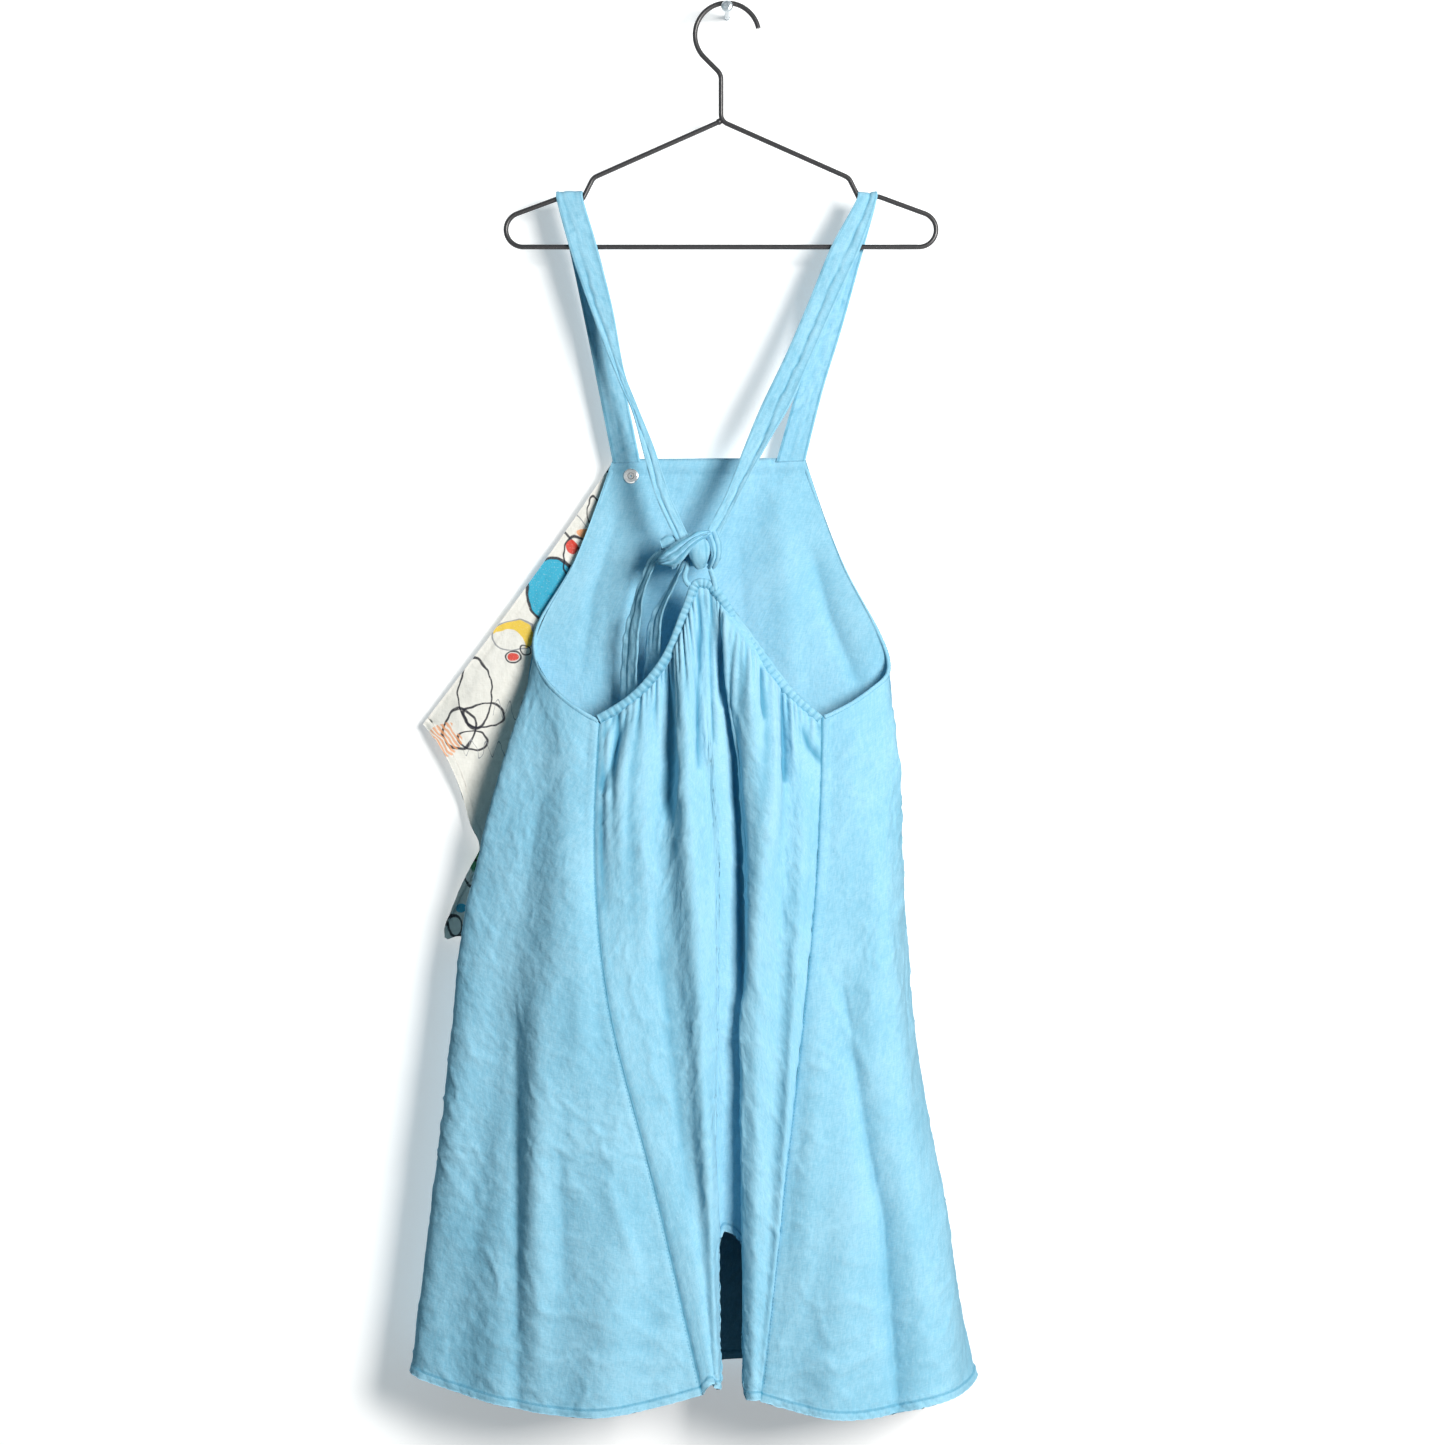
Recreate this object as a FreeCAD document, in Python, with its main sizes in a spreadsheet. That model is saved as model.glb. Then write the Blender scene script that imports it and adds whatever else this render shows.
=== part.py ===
"""Pinafore apron on a wire hanger, hung on a wall screw.

Frame: origin on the screw's axis at the wall plane, +Z up, +Y into the wall, +X to the right as
seen from the room.  Millimetres.  The garment's front faces the wall and its back the room.
"""
import FreeCAD, Part
import Sketcher
import math
import os
from FreeCAD import Placement, Rotation, Vector

doc = FreeCAD.newDocument("apron_on_hook")

# ---------------------------------------------------------------------------------------------
# Driving dimensions

SIZES = {
    # wall screw
    "shank_radius": 2.0, "thread_radius": 2.5, "screw_embed": 28.0, "screw_point": 6.0,
    "screw_reach": 45.0, "head_radius": 4.7, "head_height": 3.2, "recess_depth": 1.9,
    "recess_length": 5.2, "recess_width": 1.1,
    # hanger, bent from one wire
    "wire_radius": 2.0, "hook_radius": 25.6, "hook_play": 0.05, "hanger_plane": -36.0,
    "neck_offset": -4.8, "neck_bend": 10.0, "neck_foot": -84.0, "shoulder_top": -90.4,
    "bar_level": -191.2, "bar_half": 150.0, "end_bend": 13.8, "end_corner": 235.7,
    "hump_bend": 6.0, "notch_bend": 7.0, "step_bend": 9.0, "shoulder_bend": 8.0,
    "hump_offset": 124.0, "hump_level": -150.1, "notch_offset": 114.0, "notch_level": -159.5,
    "step_offset": 102.2, "step_level": -135.8, "weld_radius": 2.7,
    "weld_shift": 1.6, "weld_drop": 0.6, "shoulder_gap": 2.6, "shoulder_drop": 1.2,
    # cloth
    "cloth_thickness": 2.0, "left_side_thickness": 1.8, "right_side_thickness": 4.0,
    "binding_width": 4.0, "binding_thickness": 3.0,
    "casing_width": 7.5, "casing_thickness": 3.4, "front_plane": -19.0,
    # straps and their knot
    "strap_top_left": -127.4, "strap_top_right": 116.9, "strap_top_level": -151.4,
    "strap_bow": 4.0, "strap_width_left": 20.6, "strap_width_right": 16.0, "bib_lap": 1.9,
    "knot_width_left": 10.0, "knot_width_right": 11.0, "tail_width_left": 16.0,
    "tail_width_right": 13.0, "knot_offset": -21.0, "knot_plane": -63.0, "knot_level": -433.0,
    "knot_half_width": 20.0, "knot_half_height": 16.0, "knot_half_depth": 11.0,
    "loop_radius": 10.5, "loop_thickness": 1.3, "loop_lap": 2.0, "loop_level": -460.0,
    # press stud
    "stud_offset": -77.3, "stud_level": -373.2, "stud_ring_radius": 6.2, "stud_post_radius": 1.6,
    "stud_ball_radius": 2.6, "socket_radius": 5.4, "cap_radius": 6.2, "socket_play": 0.05,
    # printed overlay panel
    "overlay_plane": -12.0,
}

sheet = doc.addObject("Spreadsheet::Sheet", "sizes")
for row, (name, value) in enumerate(SIZES.items(), start=1):
    sheet.set(f"A{row}", name)
    sheet.set(f"B{row}", str(value))
    sheet.setAlias(f"B{row}", name)
doc.recompute()


def size(name):
    return float(getattr(sheet, name))


# ---------------------------------------------------------------------------------------------
# Helpers: sketches and bodies

parts = []


def keep(obj, label):
    """Names a finished sub-part and lists it for export."""
    obj.Label = label
    parts.append(obj)
    return obj


def new_body(label):
    return keep(doc.addObject("PartDesign::Body", label), label)


def new_sketch(body, name, plane, offset=0.0):
    sketch = body.newObject("Sketcher::SketchObject", name)
    support = next(item for item in body.Origin.OriginFeatures if item.Role == plane)
    sketch.AttachmentSupport = [(support, "")]
    sketch.MapMode = "FlatFace"
    sketch.AttachmentOffset = Placement(Vector(0, 0, offset), Rotation())
    return sketch


def closed_outline(sketch, points):
    for start, end in zip(points, points[1:] + points[:1]):
        sketch.addGeometry(Part.LineSegment(Vector(*start, 0), Vector(*end, 0)))


def revolve_y(label, profile):
    """A body turned about its own Y axis from (radius, y) points."""
    body = new_body(label)
    sketch = new_sketch(body, f"{label}_profile", "XY_Plane")
    closed_outline(sketch, profile)
    turn = body.newObject("PartDesign::Revolution", f"{label}_turn")
    turn.Profile = sketch
    turn.ReferenceAxis = (sketch, ["V_Axis"])
    turn.Angle = 360
    doc.recompute()
    return body


def bind_centre(sketch, circle, across, upright, radius_cell):
    """Places a circle by cells or numbers and takes its radius from the sheet."""
    places = (("DistanceX", "across", across), ("DistanceY", "upright", upright))
    for kind, name, value in places:
        number = size(value) if isinstance(value, str) else value
        index = sketch.addConstraint(Sketcher.Constraint(kind, -1, 1, circle, 3, number))
        sketch.renameConstraint(index, name)
        if isinstance(value, str):
            sketch.setExpression(f"Constraints.{name}", f"sizes.{value}")
    index = sketch.addConstraint(Sketcher.Constraint("Radius", circle, size(radius_cell)))
    sketch.renameConstraint(index, "radius")
    sketch.setExpression("Constraints.radius", f"sizes.{radius_cell}")


def rounded_path(points, radii):
    """Straight runs through the points, with a tangent arc of its own radius at each inner one."""
    corners = [Vector(x, z, 0) for x, z in points]
    edges, start = [], corners[0]
    for before, corner, after, radius in zip(corners, corners[1:], corners[2:], radii):
        towards = (corner - before).normalize()
        away = (after - corner).normalize()
        half_turn = towards.getAngle(away) / 2
        reach = radius * math.tan(half_turn)
        inward = (away - towards).normalize()
        arc_start, arc_end = corner - towards * reach, corner + away * reach
        arc_middle = corner + inward * (radius / math.cos(half_turn) - radius)
        edges += [Part.LineSegment(start, arc_start), Part.Arc(arc_start, arc_middle, arc_end)]
        start = arc_end
    return edges + [Part.LineSegment(start, corners[-1])]


def wire_body(label, path_edges, profile_plane, profile_offset, across, upright):
    """A round wire swept along a path in the hanger's plane."""
    body = new_body(label)
    profile = new_sketch(body, f"{label}_section", profile_plane, profile_offset)
    circle = profile.addGeometry(Part.Circle(Vector(0, 0, 0), Vector(0, 0, 1), size("wire_radius")))
    bind_centre(profile, circle, across, upright, "wire_radius")
    path = new_sketch(body, f"{label}_path", "XZ_Plane")
    for edge in path_edges:
        path.addGeometry(edge)
    doc.recompute()
    sweep = body.newObject("PartDesign::AdditivePipe", f"{label}_sweep")
    sweep.Profile = profile
    sweep.Spine = path
    body.setExpression("Placement.Base.y", "sizes.hanger_plane")
    doc.recompute()
    return body


# ---------------------------------------------------------------------------------------------
# Helpers: cloth


def curve_points(points, count):
    """Evenly spaced points on a smooth curve through the given ones."""
    curve = Part.BSplineCurve()
    curve.interpolate([Vector(*point) for point in points])
    return curve.discretize(count)


def grid_normal(grid, column, row):
    columns, rows = len(grid), len(grid[0])
    left, right = grid[max(column - 1, 0)][row], grid[min(column + 1, columns - 1)][row]
    above, below = grid[column][max(row - 1, 0)], grid[column][min(row + 1, rows - 1)]
    return (right - left).cross(below - above).normalize()


def sheet_solid(grid, thickness):
    """Closed solid of a sheet, given as columns of points that run down the cloth."""
    columns, rows = len(grid), len(grid[0])
    points = []
    for side in (-0.5, 0.5):
        for column in range(columns):
            for row in range(rows):
                lift = grid_normal(grid, column, row) * (side * thickness)
                points.append(grid[column][row] + lift)

    def index(side, column, row):
        return side * columns * rows + column * rows + row

    facets = []

    def quad(a, b, c, d):
        facets.extend([(a, b, c), (a, c, d)])

    for column in range(columns - 1):
        for row in range(rows - 1):
            near = [index(0, column + i, row + j) for i, j in ((0, 0), (1, 0), (1, 1), (0, 1))]
            quad(*near)
            far = [index(1, column + i, row + j) for i, j in ((0, 0), (0, 1), (1, 1), (1, 0))]
            quad(*far)
    for column in range(columns - 1):
        for row, flip in ((0, False), (rows - 1, True)):
            rim = [index(0, column, row), index(1, column, row),
                   index(1, column + 1, row), index(0, column + 1, row)]
            quad(*(rim[::-1] if flip else rim))
    for row in range(rows - 1):
        for column, flip in ((0, True), (columns - 1, False)):
            rim = [index(0, column, row), index(1, column, row),
                   index(1, column, row + 1), index(0, column, row + 1)]
            quad(*(rim[::-1] if flip else rim))

    shell = Part.Shape()
    shell.makeShapeFromMesh((points, facets), 0.001)
    solid = Part.makeSolid(shell)
    if solid.Volume < 0:
        solid.reverse()
    return solid


def cloth_part(label, grid, thickness, cut=None):
    part = doc.addObject("Part::Feature", label)
    solid = sheet_solid(grid, thickness)
    part.Shape = solid.cut(cut) if cut else solid
    return keep(part, label)


def ribbon_grid(path, width):
    """Two edges of a ribbon.  path holds (point, direction across the ribbon) pairs."""
    near, far = [], []
    for centre, across in path:
        offset = Vector(*across).normalize() * (width / 2)
        near.append(Vector(*centre) - offset)
        far.append(Vector(*centre) + offset)
    return [near, far]


# ---------------------------------------------------------------------------------------------
# Wall screw


def make_screw():
    shank, thread, head = size("shank_radius"), size("thread_radius"), size("head_radius")
    under_head = size("head_height") - size("screw_reach")
    top = -size("screw_reach")
    profile = [
        (0, size("screw_embed") + size("screw_point")), (thread, size("screw_embed")),
        (thread, 0), (shank, 0), (shank, under_head), (head, under_head),
        (head, under_head - 0.35 * size("head_height")),
        (0.93 * head, under_head - 0.65 * size("head_height")),
        (0.76 * head, under_head - 0.88 * size("head_height")), (0.5 * head, top), (0, top)]
    body = revolve_y("wall_screw", profile)
    arm, slot = size("recess_length") / 2, size("recess_width") / 2
    recess = new_sketch(body, "recess", "XZ_Plane", -top)
    closed_outline(recess, [
        (-arm, -slot), (-slot, -slot), (-slot, -arm), (slot, -arm), (slot, -slot), (arm, -slot),
        (arm, slot), (slot, slot), (slot, arm), (-slot, arm), (-slot, slot), (-arm, slot)])
    pocket = body.newObject("PartDesign::Pocket", "cross_recess")
    pocket.Profile = recess
    pocket.setExpression("Length", "sizes.recess_depth")
    doc.recompute()
    return body


# ---------------------------------------------------------------------------------------------
# Hanger


def make_hanger():
    neck, radius = size("neck_offset"), size("hook_radius")
    centre = size("shank_radius") + size("hook_play") + size("wire_radius") - radius

    def on_hook(degrees):
        angle = math.radians(degrees)
        return Vector(radius * math.cos(angle), centre + radius * math.sin(angle), 0)

    leave_angle, crown_angle, tip_angle = 225, 118, 12
    leave = on_hook(leave_angle)
    corner = (neck, leave.y - (neck - leave.x))
    bow = rounded_path([(neck, size("neck_foot")), corner, (leave.x, leave.y)], [size("neck_bend")])
    bow.append(Part.Arc(leave, on_hook(crown_angle), on_hook(tip_angle)))
    wire_body("hanger_hook", bow, "XY_Plane", size("neck_foot"), "neck_offset", 0)

    level = size("bar_level")
    bends = [size("end_bend"), size("hump_bend"), size("notch_bend"), size("step_bend")]
    outline = [(size("bar_half"), level), (size("end_corner"), level),
               (size("hump_offset"), size("hump_level")), (size("notch_offset"), size("notch_level")),
               (size("step_offset"), size("step_level"))]
    right = [(neck + x, z) for x, z in outline]
    right += [(neck, size("shoulder_top")), (neck, size("neck_foot"))]
    wire_body("hanger_shoulder_right", rounded_path(right, bends + [size("shoulder_bend")]),
              "YZ_Plane", neck + size("bar_half"), 0, "bar_level")
    left = [(neck - x, z) for x, z in outline]
    left.append((neck - size("shoulder_gap"), size("shoulder_top") - size("shoulder_drop")))
    wire_body("hanger_shoulder_left", rounded_path(left, bends), "YZ_Plane",
              neck - size("bar_half"), 0, "bar_level")

    bar = doc.addObject("Part::Cylinder", "hanger_bar")
    bar.setExpression("Radius", "sizes.wire_radius")
    bar.setExpression("Height", "2 * sizes.bar_half")
    bar.Placement = Placement(
        Vector(neck - size("bar_half"), size("hanger_plane"), level), Rotation(Vector(0, 1, 0), 90))
    keep(bar, "hanger_bar")

    weld = doc.addObject("Part::Sphere", "neck_weld")
    weld.setExpression("Radius", "sizes.weld_radius")
    weld.Placement.Base = Vector(neck - size("weld_shift"), size("hanger_plane"),
                                 size("shoulder_top") - size("weld_drop"))
    keep(weld, "neck_weld")


# ---------------------------------------------------------------------------------------------
# Garment: four cloth panels that make a flattened tube, open above the armholes at the back.
# Each rail is a line down the cloth, from its top edge to the hem.

FRONT = size("front_plane")
ROWS = 14
BIB_ROWS, SKIRT_ROWS = 6, 11

LEFT_EDGE = [(-91.8, FRONT, -359.4), (-122.4, FRONT, -441), (-154.5, FRONT, -507),
             (-167, FRONT, -640), (-190, FRONT, -800), (-222, FRONT - 2, -1082)]
RIGHT_EDGE = [(62.8, FRONT, -358.6), (91.8, FRONT, -441), (128.8, FRONT, -521),
              (133, FRONT, -640), (148, FRONT, -800), (182, FRONT - 2, -1082)]
LEFT_SEAM = [(-100.7, -60, -569.6), (-104, -76, -680), (-93, -89, -790), (-55, -99, -940),
             (-19, -108, -1094)]
RIGHT_SEAM = [(75.4, -60, -566.5), (71, -76, -680), (60, -90, -800), (43, -101, -943),
              (26, -108, -1099)]

LEFT_SIDE = [
    [(-154.5, FRONT, -507), (-167, FRONT, -640), (-190, FRONT, -800), (-222, FRONT - 2, -1082)],
    [(-151.5, -34, -523), (-172, -42, -580), (-199, -48, -750), (-220, -53, -920),
     (-249.5, -60, -1087)],
    [(-140.7, -48, -540), (-152, -66, -650), (-172, -86, -800), (-186, -98, -950),
     (-190, -108, -1102)],
    [(-122, -56, -557), (-127, -75, -660), (-131, -94, -800), (-123, -108, -950),
     (-104, -118, -1110)],
    LEFT_SEAM]
RIGHT_SIDE = [
    [(128.8, FRONT, -521), (133, FRONT, -640), (148, FRONT, -800), (182, FRONT - 2, -1082)],
    [(127, -34, -533), (139, -42, -600), (149, -48, -730), (164, -54, -890), (200, -62, -1092)],
    [(114.5, -46, -544), (125, -66, -650), (134, -86, -800), (148, -99, -950), (160, -109, -1102)],
    [(97, -55, -556), (103, -76, -660), (103, -95, -800), (98, -109, -950), (94, -118, -1112)],
    RIGHT_SEAM]
BACK = [
    LEFT_SEAM,
    [(-75, -62, -547), (-72, -79, -680), (-58, -92, -800), (-34, -101, -950), (-13, -108, -1093)],
    [(-51, -62, -518), (-43, -80, -640), (-25, -95, -780), (-9, -104, -930), (-9, -107, -1092)],
    [(-36, -60, -481), (-27, -72, -600), (-14, -80, -720), (-8, -80, -860), (-6, -74, -975)],
    [(-12, -59, -459), (-3, -70, -600), (5, -78, -740), (10, -80, -860), (12, -74, -985)],
    [(13, -60, -495), (17, -80, -640), (14, -95, -780), (12, -104, -930), (22, -107, -1101)],
    [(48, -62, -541), (50, -80, -680), (42, -93, -800), (29, -102, -950), (25, -108, -1100)],
    RIGHT_SEAM]

NECKLINE = [(-103.7, -60, -565.7), (-75.4, -62, -547.5), (-51.4, -63, -518), (-36, -62, -481),
            (-26, -60, -458.6), (-12, -60, -459.4), (13.4, -62, -494.6), (48, -62.5, -541.2),
            (76, -60, -566.5)]


def smooth_across(rails, columns):
    """Rails sampled down the cloth, then each row sampled across on a smooth curve."""
    sampled = [curve_points(rail, ROWS) for rail in rails]
    across = [curve_points(level, columns) for level in zip(*sampled)]
    return [list(column) for column in zip(*across)]


def front_grid():
    """Bib and front skirt: flat at the bib, in soft flutes towards the hem."""
    rows = BIB_ROWS + SKIRT_ROWS + 1
    left, right = curve_points(LEFT_EDGE, rows), curve_points(RIGHT_EDGE, rows)
    columns, flute_depth, flutes = 15, 7.0, 3
    grid = []
    for column in range(columns):
        share = column / (columns - 1)
        line = []
        for row, (start, end) in enumerate(zip(left, right)):
            fall = max(0.0, (row - BIB_ROWS) / SKIRT_ROWS)
            point = start + (end - start) * share
            wave = math.sin(math.pi * share) * (1 - math.cos(2 * math.pi * flutes * share))
            line.append(point - Vector(0, flute_depth * fall * wave / 2, 0))
        grid.append(line)
    return grid


def edge_ribbon(path, width, samples):
    """A ribbon whose one long edge is a curve.  path holds (point, outward normal) pairs, and
    the ribbon lies on the side of the curve that is minus normal x tangent."""
    edge = curve_points([point for point, _ in path], samples)
    normals = []
    for step in range(samples):
        place = step / (samples - 1) * (len(path) - 1)
        first = min(int(place), len(path) - 2)
        share = place - first
        before, after = Vector(*path[first][1]), Vector(*path[first + 1][1])
        normals.append((before * (1 - share) + after * share).normalize())
    inner = []
    for step, (point, normal) in enumerate(zip(edge, normals)):
        tangent = edge[min(step + 1, samples - 1)] - edge[max(step - 1, 0)]
        inner.append(point - normal.cross(tangent).normalize() * width)
    return [edge, inner]


def make_panels():
    cloth = size("cloth_thickness")
    stud = Vector(size("stud_offset"), FRONT - 5, size("stud_level"))
    stud_hole = Part.makeCylinder(size("stud_post_radius"), 10, stud, Vector(0, 1, 0))
    cloth_part("front_panel", front_grid(), cloth, stud_hole)
    # the right side hangs in closer pleats than the left, so its solid is thicker
    cloth_part("side_panel_left", smooth_across(LEFT_SIDE, 9), size("left_side_thickness"))
    cloth_part("side_panel_right", smooth_across(RIGHT_SIDE[::-1], 9), size("right_side_thickness"))
    cloth_part("back_panel", smooth_across(BACK, 15), cloth)


def make_edges():
    width, thickness = size("binding_width"), size("binding_thickness")
    to_wall, to_left, to_right, to_room = (0, 1, 0), (-1, 0, 0), (1, 0, 0), (0, -1, 0)
    left = [((-91.8, FRONT, -359.4), to_wall), ((-122.4, FRONT, -441), to_wall),
            ((-150.6, FRONT - 1, -491), to_wall), ((-154.5, FRONT - 4, -507), (-1, 0.6, 0)),
            ((-151.5, -34, -523), to_left), ((-140.7, -48, -540), (-1, -1, 0)),
            ((-122, -56, -557), to_room), ((-101.5, -60, -569), to_room)]
    right = [((62.8, FRONT, -358.6), to_wall), ((91.8, FRONT, -441), to_wall),
             ((121, FRONT - 1, -499), to_wall), ((128.8, FRONT - 4, -521), (1, 0.6, 0)),
             ((127, -34, -533), to_right), ((114.5, -46, -544), (1, -1, 0)),
             ((97, -55, -556), to_room), ((76.5, -60, -566), to_room)]
    cloth_part("armhole_binding_left", edge_ribbon(left, width, 26), thickness)
    cloth_part("armhole_binding_right", edge_ribbon(right, -width, 26),
               size("right_side_thickness") + 1)
    neckline = [(point, to_room) for point in NECKLINE]
    cloth_part("neckline_casing", edge_ribbon(neckline, size("casing_width"), 28),
               size("casing_thickness"))


# ---------------------------------------------------------------------------------------------
# Straps, knot, tails and the loop that ties the knot to the neckline


def make_strap(label, top, foot, knee, knot_end, top_width, knot_width):
    """From the bib's corner up the wall side, over the hanger and down the room side to the knot."""
    plane, level, bow = size("hanger_plane"), size("strap_top_level"), size("strap_bow")
    across = Vector(1, 0, 0)
    halfway = (Vector(*foot) + Vector(top, plane + bow, level)) * 0.5
    path = [(Vector(*foot), top_width), (halfway, top_width)]
    turns = 8
    for step in range(turns + 1):
        angle = math.pi * step / turns
        path.append((Vector(top, plane + bow * math.cos(angle), level + bow * math.sin(angle)),
                     top_width))
    path += [(Vector(*knee), (top_width + knot_width) / 2), (Vector(*knot_end), knot_width)]
    near = [centre - across * (width / 2) for centre, width in path]
    far = [centre + across * (width / 2) for centre, width in path]
    cloth_part(label, [near, far], size("cloth_thickness"))


def make_straps():
    bib = FRONT - size("bib_lap")
    make_strap("strap_left", size("strap_top_left"), (-80.5, bib, -364), (-88, -47, -290),
               (-34, -61, -424), size("strap_width_left"), size("knot_width_left"))
    make_strap("strap_right", size("strap_top_right"), (52, bib, -364), (52, -47, -290),
               (-8, -61, -421), size("strap_width_right"), size("knot_width_right"))

    # the two loose ends drop from the knot into the garment, behind the neckline
    tails = {
        "strap_tail_left": ([(-34, -58, -438), (-54, -53, -452), (-68, -47, -490), (-74, -42, -535),
                             (-76, -40, -590)], size("tail_width_left")),
        "strap_tail_right": ([(-26, -59, -446), (-38, -55, -462), (-48, -50, -490),
                              (-54, -47, -530), (-55, -46, -572)], size("tail_width_right"))}
    tilt = (1, 0, 0.25)
    for label, (points, width) in tails.items():
        line = curve_points(points, 12)
        cloth_part(label, ribbon_grid([(point, tilt) for point in line], width),
                   size("cloth_thickness"))

    knot = doc.addObject("Part::Ellipsoid", "tie_knot")
    knot.setExpression("Radius1", "sizes.knot_half_height")
    knot.setExpression("Radius2", "sizes.knot_half_width")
    knot.setExpression("Radius3", "sizes.knot_half_depth")
    knot.Placement.Base = Vector(size("knot_offset"), size("knot_plane"), size("knot_level"))
    keep(knot, "tie_knot")

    loop = doc.addObject("Part::Torus", "back_loop")
    loop.setExpression("Radius1", "sizes.loop_radius")
    loop.setExpression("Radius2", "sizes.loop_thickness")
    loop.Angle3 = 180
    loop_centre = Vector(size("knot_offset"), size("knot_plane") + size("loop_lap"),
                         size("loop_level"))
    loop.Placement = Placement(loop_centre, Rotation(Vector(1, 0, 0), 90))
    keep(loop, "back_loop")


# ---------------------------------------------------------------------------------------------
# Press stud: ring and stud clamp the bib between them; socket and cap clamp the overlay


def place_at_stud(body, plane):
    body.Placement.Base = Vector(size("stud_offset"), plane, size("stud_level"))


def make_stud():
    cloth = size("cloth_thickness")
    post, ball, ring = size("stud_post_radius"), size("stud_ball_radius"), size("stud_ring_radius")
    bore = ball + size("socket_play")
    hollow = 0.7
    ring_body = revolve_y("stud_ring", [
        (hollow, 0), (hollow, -0.5), (2.2, -0.5), (2.8, -1.2), (ring - 1.2, -1.4),
        (ring - 0.3, -1.0), (ring, -0.4), (ring, 0), (post, 0), (post, cloth / 2),
        (hollow, cloth / 2)])
    place_at_stud(ring_body, FRONT - cloth / 2)
    stud = revolve_y("stud_ball", [
        (0, 0), (4.9, 0), (4.9, 0.6), (4.2, 1.0), (ball - 0.4, 1.0), (ball - 0.4, 1.8), (ball, 2.4),
        (ball, 3.1), (ball - 0.7, 3.7), (0, 3.9)])
    place_at_stud(stud, FRONT + cloth / 2)

    overlay = size("overlay_plane")
    socket = revolve_y("stud_socket", [
        (bore, -3.5), (size("socket_radius") - 0.5, -3.5), (size("socket_radius"), -2.9),
        (size("socket_radius"), 0), (post, 0), (post, -0.6), (bore, -0.6)])
    place_at_stud(socket, overlay - cloth / 2)
    cap = size("cap_radius")
    cap_body = revolve_y("stud_cap", [
        (0, 1.6), (2.6, 1.5), (cap - 1.2, 0.95), (cap - 0.1, 0.45), (cap, 0.2), (cap, 0),
        (1.4, 0), (1.4, -cloth), (0, -cloth)])
    place_at_stud(cap_body, overlay + cloth / 2)


# ---------------------------------------------------------------------------------------------
# Printed overlay, hung from the stud by one corner


def make_overlay():
    body = new_body("print_panel")
    outline = new_sketch(body, "overlay_outline", "XZ_Plane")
    corners = [(-92, -361), (-104, -378), (-127, -436), (-181, -500), (-246, -571), (-220, -618),
               (-200, -673), (-216, -727), (-226, -747), (-130, -785), (10, -768), (78, -650),
               (60, -520), (-52, -361)]
    closed_outline(outline, corners)
    hole = outline.addGeometry(Part.Circle(Vector(0, 0, 0), Vector(0, 0, 1), 1.4))
    bind_centre(outline, hole, "stud_offset", "stud_level", "stud_post_radius")
    pad = body.newObject("PartDesign::Pad", "overlay_thickness")
    pad.Profile = outline
    pad.Midplane = True
    pad.setExpression("Length", "sizes.cloth_thickness")
    body.setExpression("Placement.Base.y", "sizes.overlay_plane")
    doc.recompute()


# ---------------------------------------------------------------------------------------------


def check_document():
    for obj in doc.Objects:
        if "Invalid" in obj.State or "Error" in obj.State:
            raise RuntimeError(f"{obj.Label} failed: {obj.State}")
    for part in parts:
        if part.Shape.isNull() or not part.Shape.isValid() or part.Shape.Volume <= 0:
            raise RuntimeError(f"{part.Label} has no valid solid")


make_screw()
make_hanger()
make_panels()
make_edges()
make_straps()
make_stud()
make_overlay()
doc.recompute()
check_document()

os.makedirs("parts", exist_ok=True)
for part in parts:
    part.Shape.exportStep(f"parts/{part.Label}.step")
    box = part.Shape.BoundBox
    print(f"{part.Label:24s} {part.Shape.Volume:10.0f} mm3  x {box.XMin:7.1f} {box.XMax:7.1f}"
          f"  y {box.YMin:7.1f} {box.YMax:7.1f}  z {box.ZMin:8.1f} {box.ZMax:8.1f}")
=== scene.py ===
"""Pinafore apron on a wire hanger: the visual model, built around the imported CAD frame.

Places are millimetres in the CAD frame (+X right, +Y into the wall, +Z up) until a mesh is made,
which is in metres.  The garment hangs with its back to the room.
"""
import math

import bpy
import numpy as np
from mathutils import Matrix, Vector


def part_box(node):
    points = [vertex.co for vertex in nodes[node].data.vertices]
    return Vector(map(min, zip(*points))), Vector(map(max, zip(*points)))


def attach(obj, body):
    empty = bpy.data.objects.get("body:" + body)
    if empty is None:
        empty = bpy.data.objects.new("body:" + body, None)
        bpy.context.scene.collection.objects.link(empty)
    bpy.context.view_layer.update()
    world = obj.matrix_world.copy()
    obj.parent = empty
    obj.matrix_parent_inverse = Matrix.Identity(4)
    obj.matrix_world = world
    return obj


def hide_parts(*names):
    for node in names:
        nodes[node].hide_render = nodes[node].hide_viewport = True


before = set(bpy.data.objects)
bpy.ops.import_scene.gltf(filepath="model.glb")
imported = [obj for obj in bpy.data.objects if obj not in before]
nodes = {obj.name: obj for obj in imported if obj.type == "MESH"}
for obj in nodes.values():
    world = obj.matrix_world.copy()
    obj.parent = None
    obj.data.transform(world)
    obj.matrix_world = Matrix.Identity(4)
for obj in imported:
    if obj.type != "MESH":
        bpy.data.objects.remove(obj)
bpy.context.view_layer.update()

MM = 0.001
# == Curves, grids and noise ==


def unit(vectors):
    return vectors / np.maximum(np.linalg.norm(vectors, axis=-1, keepdims=True), 1e-12)


def run_along(points):
    """How far each point is along a line of points."""
    return np.cumsum(np.linalg.norm(np.diff(points, axis=0, prepend=points[:1]), axis=1))


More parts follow.
